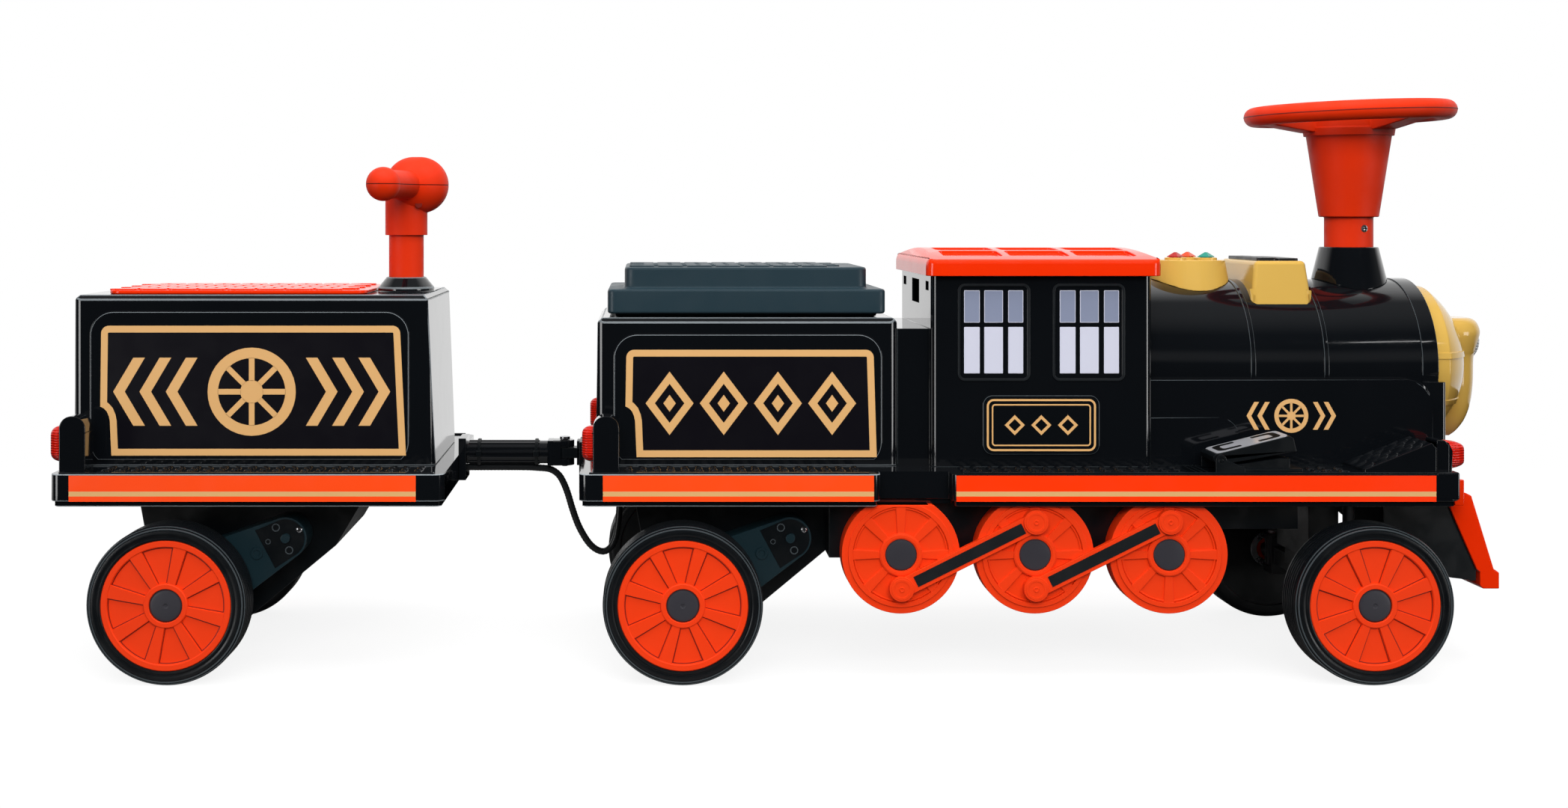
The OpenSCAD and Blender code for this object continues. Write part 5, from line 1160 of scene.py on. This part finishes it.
# Side and ends of each tread, and ends of each bead
TREAD_RUNS = {"wagon": ((RIGHT, -884, -456), (LEFT, -884, -456)),
              "loco": ((RIGHT, -222, 94), (LEFT, -222, 94), (RIGHT, 204, 500), (LEFT, 204, 704),
                       (RIGHT, 648, 704))}
BEAD_RUNS = {"wagon": ((-926, -456),), "loco": ((-262, 90), (206, 816))}
LUG_PITCH, LUG_ROWS, ROW_PITCH = 18.0, 5, 11.0
FIRST_ROW = {RIGHT: -191.0, LEFT: 147.0}
BEAD_IN, BEAD_OUT = 199.0, 204.5
REST_X, REST_Z, REST_SLOPE, REST_ROWS = 720.0, DECK_Z + 7.6, math.atan2(33.0, 84.0), (-188.0, 134.0)


def running_boards():
    """Lugs and beads on both units, and the treads of the foot rests."""
    black = FINISHES["gloss_black"]
    for body, runs in TREAD_RUNS.items():
        lugs, beads = bmesh.new(), bmesh.new()
        for side, x0, x1 in runs:
            columns = int((x1 - x0) / LUG_PITCH)
            place = at(x0 + LUG_PITCH / 2, FIRST_ROW[side], DECK_Z)
            add_bm(lugs, rows(tread_lug(17.0, 7.0, 1.7), place, columns, LUG_ROWS, LUG_PITCH, ROW_PITCH,
                              black, turn=math.radians(45)))
        make_piece(f"{body}_tread_lugs", lugs, body, "gloss_black", crease=25.0)
        for x0, x1 in BEAD_RUNS[body]:
            for side in (RIGHT, LEFT):
                add_bm(beads, side_block(side, x0, x1, BEAD_IN, BEAD_OUT, DECK_Z - 1, DECK_Z + 2.2, 1.2, 3))
        make_piece(f"{body}_board_beads", beads, body, "gloss_black")
    treads = bmesh.new()
    for y in REST_ROWS:
        place = at(REST_X, y, REST_Z) @ Matrix.Rotation(-REST_SLOPE, 4, "Y")
        add_bm(treads, rows(tread_lug(19.0, 6.5, 2.2), place, 5, 6, 16.5, ROW_PITCH, black, shift=8.0,
                            turn=math.radians(14)))
    make_piece("foot_rest_treads", treads, "loco", "gloss_black", crease=25.0)


running_boards()


# Seats: embossed tiles

TILE_W, TILE_H, TILE_SUNK, TILE_PITCH = 20.0, 1.8, 0.3, 25.0


def tile(length, corner):
    """A low cushion with round corners, sunk a little into the seat."""
    outline = oblong(-length / 2, length / 2, -TILE_W / 2, TILE_W / 2, corner, 3)
    return prism(outline, TILE_H + TILE_SUNK, at(0, 0, -TILE_SUNK), None, 0.8)


for unit, body, slot, length, corner, place, count, pitch in (
        ("wagon", "wagon", "red_gloss", 35.0, 7.0, at(-877.0, -88.0, 488.0), 8, 38.5),
        ("tender", "loco", "seat_black", 33.0, 6.0, at(-196.0, -76.0, 518.0), 7, 38.0)):
    tiles = rows(tile(length, corner), place, count, count, pitch, TILE_PITCH, FINISHES[slot], shift=19.0)
    make_piece(f"{unit}_seat_tiles", tiles, body, slot)


# Smokebox door: hinge straps

def door_point(z, x):
    """Y of the door's skin at height z and length x from the boiler's front."""
    rho = (DOOR_R ** 2 + DOOR_DOME ** 2) / (2 * DOOR_DOME)
    r = DOOR_R
    if x >= DOOR_RIM:
        r = math.sqrt(max(0.0, rho ** 2 - (x - DOOR_RIM - DOOR_DOME + rho) ** 2))
    return math.sqrt(max(0.0, r * r - (z - BOILER_Z) ** 2))


STRAPS_Z, STRAP_H, STRAP_END_Y = ((397.4, 406.4), (335.0, 343.4)), 1.5, 36.0


def door_straps():
    """Two straps a side that follow the rim and the dome up to the lamp hood."""
    bm = bmesh.new()
    for z0, z1 in STRAPS_Z:
        for side in (RIGHT, LEFT):
            middle = (z0 + z1) / 2
            loops = []
            for x in (0.4 + k * 1.8 for k in range(60)):
                if door_point(middle, x) <= STRAP_END_Y:
                    continue
                loops.append([])
                for z, out in ((z0, -0.6), (z0 + 0.8, STRAP_H), (z1 - 0.8, STRAP_H), (z1, -0.6)):
                    a, b = door_point(z, max(0.0, x - 0.5)), door_point(z, x + 0.5)
                    slope = Vector((a - b, 1.0)).normalized()
                    loops[-1].append(bm.verts.new(((BOILER_X1 + x + slope.x * out) * MM,
                                                   side * (door_point(z, x) + slope.y * out) * MM, z * MM)))
            bridge(bm, loops)
    make_piece("door_straps", bm, "loco", "cream_gloss", crease=50.0)


door_straps()


# Pods: faceted jewels and the two-part panel

def jewel(x, y):
    """A four-sided cut stone on a shaft: wide girdle, steep facets and a small table."""
    bm = bmesh.new()
    loops = []
    for r, z in ((8.0, -9.0), (8.0, 3.3), (11.4, 3.6), (11.4, 4.4), (1.8, 10.2)):
        outline = disc_outline(x, y, r, 4)
        loops.append([bm.verts.new((a * MM, b * MM, (POD_TOP + z) * MM)) for a, b in outline])
    bridge(bm, loops)
    return bm


JEWELS = {"red": (-20, -8), "amber": (4, 17), "green": (21, -10)}


def pods():
    """The jewels in their collars, and the panel on the square pod."""
    for colour, (x, y) in JEWELS.items():
        obj = make_piece(f"{colour}_jewel_cap", jewel(BUTTON_POD_X + x, y), f"{colour}_button",
                         f"jewel_{colour}", crease=20.0)
        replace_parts(obj, f"{colour}_button")
    collars = bmesh.new()
    for x, y in JEWELS.values():
        outline, hole = (disc_outline(BUTTON_POD_X + x, y, r) for r in (14.4, 12.2))
        add_bm(collars, prism(outline, 3.3, at(0, 0, POD_TOP - 0.3), hole, 0.8))
    make_piece("jewel_collars", collars, "loco", "cream_gloss")
    panel = bmesh.new()
    for x0, x1, rise, edge in ((MEDIA_X0 + 14.0, MEDIA_X0 + 40.0, 4.0, 1.6),
                               (MEDIA_X0 + 41.0, MEDIA_X1 - 14.0, 3.2, 1.2)):
        add_bm(panel, prism(oblong(x0, x1, -62.0, 62.0, 5.0), rise, at(0, 0, POD_TOP), None, edge))
    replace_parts(make_piece("media_panel_two_part", panel, "loco", "panel_dark"), "media_panel")


pods()


# Front end, top, corner, inner face and rise over the saddle, of its side and of the field
SADDLE_STEPS = ((829.6, 372.6, 37.0, 107.0, 0.8), (578.0, 324.0, 26.0, SADDLE_W - 0.4, 3.0))


def saddle_steps():
    """The side of the saddle with its round front corner, and the low raised field behind the pedal."""
    bm = bmesh.new()
    back = CAB_X1 + 1.0
    for side in (RIGHT, LEFT):
        for x, z, corner, inside, rise in SADDLE_STEPS:
            outline = rounded([(back, DECK_Z), (x, DECK_Z), (x, z), (back, z)], [0, 0, corner, 0], 10)
            add_bm(bm, prism(outline, SADDLE_W + rise - inside, on_side(side, inside), None, 0.9))
    bmesh.ops.recalc_face_normals(bm, faces=bm.faces)
    # Sloped faces of the rounded edges get the soft pale finish: a painted highlight.
    for face in bm.faces:
        face.material_index = 1 if 0.3 < abs(face.normal.y) < 0.95 else 0
    make_piece("saddle_steps", bm, "loco", "gloss_black", None, 40.0, painted_soft_highlight)


saddle_steps()


# Small fittings

UPRIGHT = Matrix.Rotation(math.pi / 2, 4, "X")
LENGTHWISE = Matrix.Rotation(-math.pi / 2, 4, "Z")


def screw_head(r, h):
    """A domed screw head, pointing along Z."""
    dome = [(0, h), (r * 0.5, h * 0.9), (r * 0.85, h * 0.55), (r, 0.1 * h), (r, -0.4 * h), (0, -0.4 * h)]
    bm = lathe(dome, (0, 0, 0), 1, 28)
    bm.transform(UPRIGHT)
    return bm


def screw_slot(r, h):
    """The cross slot in a screw head."""
    bm = block(-r * 0.62, r * 0.62, -r * 0.13, r * 0.13, h * 0.6, h * 1.02)
    return add_bm(bm, block(-r * 0.13, r * 0.13, -r * 0.62, r * 0.62, h * 0.6, h * 1.02))


def facing(x, y, z, direction):
    """A place that turns Z to a direction."""
    return at(x, y, z) @ Vector(direction).to_track_quat("Z", "Y").to_matrix().to_4x4()


def screws(name, body, places, r=4.4, h=2.2):
    """Screw heads at (x, y, z, direction), and their slots as dark blocks of painted shade."""
    heads, slots = bmesh.new(), bmesh.new()
    for x, y, z, direction in places:
        add_bm(heads, screw_head(r, h), facing(x, y, z, direction))
        add_bm(slots, screw_slot(r, h), facing(x, y, z, direction))
    make_piece(f"{name}_screws", heads, body, "bright_steel", crease=40.0)
    make_piece(f"{name}_slots", slots, body, None, slot_shade_black)


GEARCASE_Y, GEARCASE_ARM = 162.0, (138.0, 174.0)
CASE_RINGS = ((126, 188, 5.2), (143, 159, 5.2), (116, 170, 3.4))
CASE_BOSSES = ((139.6, 176, 4.4), (101.7, 155, 7.4))


def gearcase_fittings(body, axle):
    """A screw, a cover, pale rings round the holes as painted highlight, and bosses on the outer faces of a
    unit's gear cases.
    """
    places, rings, bosses, covers = [], bmesh.new(), bmesh.new(), bmesh.new()
    arm_x, arm_z = GEARCASE_ARM
    lean = math.atan2(arm_z - WHEEL_R, arm_x)
    for side in (RIGHT, LEFT):
        places.append((axle + 155.6, side * GEARCASE_Y, 185.4, (0, side, 0)))
        arc = [(24.5, lean + math.radians(a)) for a in range(-80, 81, 8)]
        back = [(40.0, lean + math.radians(a)) for a in (137.0, -137.0)]
        cover = [(axle + arm_x + r * math.cos(a), arm_z + r * math.sin(a)) for r, a in arc + back]
        add_bm(covers, prism(cover, 0.8, on_side(side, GEARCASE_Y - 0.2), None, 0.3))
        for x, z, r in CASE_RINGS:
            outline, hole = (disc_outline(axle + x, z, size, 28) for size in (r, r * 0.74))
            add_bm(rings, prism(outline, 0.3, on_side(side, GEARCASE_Y + 0.5), hole))
        for x, z, r in CASE_BOSSES:
            boss = [(0, 0.6), (r * 0.5, 0.6), (r * 0.6, 1.6), (r, 1.6), (r * 1.12, -0.5), (0, -0.5)]
            add_bm(bosses, lathe(boss, (axle + x, side * GEARCASE_Y, z), side, 32))
    screws(f"{body}_gearcase", body, places)
    make_piece(f"{body}_gearcase_covers", covers, body, None, FINISHES["frame_black"])
    # Pale rings round the holes: painted highlight.
    make_piece(f"{body}_gearcase_holes", rings, body, None, painted_soft_highlight)
    make_piece(f"{body}_gearcase_bosses", bosses, body, None, lit_case_black)


CONE_R, CONE_SCREW_Z = 31.3, 568.0
CONE_COLLAR = [(54.0, 694.0), (58.0, 694.0), (59.4, 703.0), (58.6, 705.2), (54.0, 705.2)]


def steering_fittings():
    """The screw in the cone, the seam round the steering wheel painted dark as shade, and the collar below
    it.
    """
    turn = math.radians(18)
    out = (math.sin(turn), -math.cos(turn), 0)
    place = (COLUMN_X + CONE_R * out[0], CONE_R * out[1], CONE_SCREW_Z, out)
    screws("column", "steering", [place], 5.2, 2.0)
    # A bead at the wheel's seam, dark red as painted shade of the groove.
    low, high = STEER_R - 0.4, STEER_R + 0.35
    seam = lathe([(low, -0.9), (high, -0.5), (high, 0.5), (low, 0.9)], (0, 0, 0), 1, 160)
    seam.transform(at(COLUMN_X, 0, STEER_Z) @ Matrix.Rotation(-STEER_TILT, 4, "Y") @ UPRIGHT)
    make_piece("steering_wheel_seam", seam, "steering", None, painted_shade_red, crease=60.0)
    collar = lathe(CONE_COLLAR, (0, 0, 0), 1)
    collar.transform(at(COLUMN_X, 0, 0) @ UPRIGHT)
    make_piece("cone_collar", collar, "steering", "red_satin", red_grip)


FLUTES, FLUTES_X0, TIES_X = 14, -431, (-417.0, -339.0)
TIE_PROFILE = [(16.4, -2.2), (18.2, -2.2), (18.6, 0), (18.2, 2.2), (16.4, 2.2)]


def hitch_fittings():
    """Cheeks of the drawbar's fork, the collar of the tongue, flutes along the bar and ties for the cable."""
    cheeks = bmesh.new()
    for side in (RIGHT, LEFT):
        add_bm(cheeks, side_block(side, HITCH_X - 20.0, HITCH_X - 4.8, 13.6, 15.2, 247.0, 279.0, 0.5))
    make_piece("hitch_fork_cheeks", cheeks, "wagon", "gloss_black")
    collar = block(HITCH_X + 16.8, TENDER_X0 - 5.0, -13.0, 13.0, 246.5, 279.5, 1.0)
    make_piece("hitch_tongue_collar", collar, "loco", "frame_black")
    flute = block(14.6, 16.6, 0, 96, -1.5, 1.5, 0.6)
    flutes = ring(flute, (FLUTES_X0, 0, DRAWBAR_Z), FLUTES, 0.1, FINISHES["gloss_black"], LENGTHWISE)
    make_piece("drawbar_flutes", flutes, "wagon", "gloss_black")
    ties = bmesh.new()
    for x in TIES_X:
        tie = lathe(TIE_PROFILE, (0, 0, 0), 1, 48)
        add_bm(tie, block(16, 22, -4, 4, -4, 4, 1.0))
        add_bm(ties, tie, at(x, 0, DRAWBAR_Z) @ LENGTHWISE)
    make_piece("cable_ties", ties, "wagon", "frame_black")


gearcase_fittings("wagon", WAGON_AXLE)
gearcase_fittings("loco", TENDER_AXLE)
steering_fittings()
make_piece("cowcatcher_flange", block(846.0, 858.3, -150.0, 150.0, 214.0, 247.0, 1.5), "loco", "red_gloss")
# Dark red discs in the handle's dimples: painted shade.
dimples = bmesh.new()
for side in (RIGHT, LEFT):
    add_bm(dimples, prism(disc_outline(HEAD_X + 5.7, 600.5, 4.6, 28), 1.6, on_side(side, 27.4)))
make_piece("handle_dimples", dimples, "wagon", None, painted_shade_red)
hitch_fittings()


def pedal_pad():
    """The pad on the pedal, a pale plate with dark bows at both ends painted as the shade of its slots, and
    the ridges at its heel.
    """
    place = at(PEDAL_X, PEDAL_Y, PEDAL_Z) @ Matrix.Rotation(-PEDAL_RISE, 4, "Y") @ at(0, 0, 8.0)
    plate = prism(oblong(-2.0, 91.0, -25.0, 25.0, 6.0), 0.9, place, None, 0.4)
    make_piece("pedal_pad_plate", plate, "pedal", None, silver_print)
    bows = bmesh.new()
    for end, inner, t in ((4.0, 33.0, 8.0), (85.0, 56.0, -8.0)):
        outline = rounded([(inner, 20.0), (end, 20.0), (end, -20.0), (inner, -20.0), (inner, -11.0),
                           (end + t, -11.0), (end + t, 11.0), (inner, 11.0)], [2, 9, 9, 2, 2, 5, 5, 2])
        add_bm(bows, prism(outline, 0.3, place @ at(0, 0, 0.85)))
    make_piece("pedal_pad_bows", bows, "pedal", None, slot_shade_black)
    ridge = block(-1.6, 1.6, -26, 26, -0.5, 2.4, 0.8)
    ridges = rows(ridge, at(500.0, PEDAL_Y, DECK_Z), 3, 1, 7.0, 1.0, FINISHES["frame_black"])
    make_piece("pedal_heel_ridges", ridges, "loco", "frame_black")


pedal_pad()


# Studio: white floor and surround, dark behind the camera, panels beside it for the edges

def studio_world():
    """White to the camera; in mirrors bright behind the train and dark in front; soft light from above."""
    world = bpy.data.worlds.new("white_studio")
    scene.world = world
    world.use_nodes = True
    tree = world.node_tree
    background = tree.nodes["Background"]
    ray = tree.nodes.new("ShaderNodeLightPath")
    split = tree.nodes.new("ShaderNodeSeparateXYZ")
    tree.links.new(tree.nodes.new("ShaderNodeTexCoord").outputs["Generated"], split.inputs[0])
    behind = map_node(tree, split.outputs["Y"], -0.1, 0.5, 0.012, 1.0)
    band = math_node(tree, "MULTIPLY", map_node(tree, split.outputs["Z"], 0.0, 0.14, 0.0, 1.0),
                     map_node(tree, split.outputs["Z"], 0.2, 0.38, 0.13, 0.0))
    overhead = map_node(tree, split.outputs["Z"], 0.55, 0.95, 0.0, 0.2)
    mirrored = math_node(tree, "MAXIMUM", behind, math_node(tree, "MAXIMUM", band, overhead))
    ambient = map_node(tree, split.outputs["Z"], -0.1, 0.35, 0.0, 0.62)
    mirror = math_node(tree, "MAXIMUM", ray.outputs["Is Glossy Ray"], ray.outputs["Is Transmission Ray"])
    level = math_node(tree, "MULTIPLY_ADD", mirror, math_node(tree, "SUBTRACT", mirrored, ambient), ambient)
    background.inputs["Color"].default_value = (1, 1, 1, 1)
    strength = math_node(tree, "MAXIMUM", level, ray.outputs["Is Camera Ray"])
    tree.links.new(strength, background.inputs["Strength"])


def studio_floor():
    """A floor that keeps a soft shadow and fades to plain white towards its edges."""
    bm = bmesh.new()
    bmesh.ops.create_grid(bm, x_segments=1, y_segments=1, size=1.0)
    bm.transform(Matrix.Translation((0, 0.45, 0)) @ Matrix.Diagonal((2.2, 1.25, 1, 1)))
    mesh = bpy.data.meshes.new("studio_floor")
    bm.to_mesh(mesh)
    bm.free()
    floor = bpy.data.objects.new("studio_floor", mesh)
    scene.collection.objects.link(floor)
    material = bpy.data.materials.new("white_floor")
    material.use_nodes = True
    tree = material.node_tree
    shader = tree.nodes["Principled BSDF"]
    place = tree.nodes.new("ShaderNodeMapping")
    place.inputs["Location"].default_value = (0, -0.1, 0)
    place.inputs["Scale"].default_value = (0.62, 1.35, 1.0)
    tree.links.new(tree.nodes.new("ShaderNodeTexCoord").outputs["Object"], place.inputs["Vector"])
    far = tree.nodes.new("ShaderNodeVectorMath")
    far.operation = "LENGTH"
    tree.links.new(place.outputs[0], far.inputs[0])
    edge = map_node(tree, far.outputs["Value"], 0.55, 0.95, 0.0, 1.0)
    paint = tree.nodes.new("ShaderNodeCombineColor")
    grey = math_node(tree, "MULTIPLY_ADD", edge, -0.18, 0.18)
    for socket in paint.inputs:
        tree.links.new(grey, socket)
    tree.links.new(paint.outputs[0], shader.inputs["Base Color"])
    shader.inputs["Roughness"].default_value = 0.9
    shader.inputs["Specular IOR Level"].default_value = 0.0
    shader.inputs["Emission Color"].default_value = (1, 1, 1, 1)
    seen = tree.nodes.new("ShaderNodeLightPath")
    shown = math_node(tree, "MAXIMUM", seen.outputs["Is Camera Ray"], seen.outputs["Is Transmission Ray"])
    glow = math_node(tree, "MULTIPLY", shown, math_node(tree, "MULTIPLY_ADD", edge, 0.16, 0.86))
    tree.links.new(glow, shader.inputs["Emission Strength"])
    mesh.materials.append(material)


def studio_lights():
    """Soft lights that no mirror shows, and panels that only mirrors show."""
    for name, place, aim, size, power, mirrored in (
            ("top_softbox", (0.0, -0.7, 2.7), (0.0, 0.0, 0.3), (3.4, 1.8), 60.0, False),
            ("front_softbox", (0.1, -3.4, 2.0), (0.0, 0.0, 0.25), (3.2, 1.6), 112.0, False),
            ("left_panel", (-2.55, -1.9, 0.3), (-0.5, 0.0, 0.3), (1.0, 0.95), 15.0, True),
            ("right_panel", (2.85, -1.9, 0.3), (0.6, 0.0, 0.3), (1.0, 0.95), 15.0, True),
            ("edge_strip", (2.15, -2.9, 2.1), (0.9, 0.0, 0.4), (0.26, 0.05), 0.35, True)):
        data = bpy.data.lights.new(name, "AREA")
        data.shape = "RECTANGLE"
        data.size, data.size_y = size
        data.energy = power
        lamp = bpy.data.objects.new(name, data)
        lamp.location = place
        lamp.rotation_euler = (Vector(aim) - Vector(place)).to_track_quat("-Z", "Y").to_euler()
        lamp.visible_glossy = mirrored
        lamp.visible_diffuse = not mirrored
        scene.collection.objects.link(lamp)


studio_world()
studio_floor()
studio_lights()
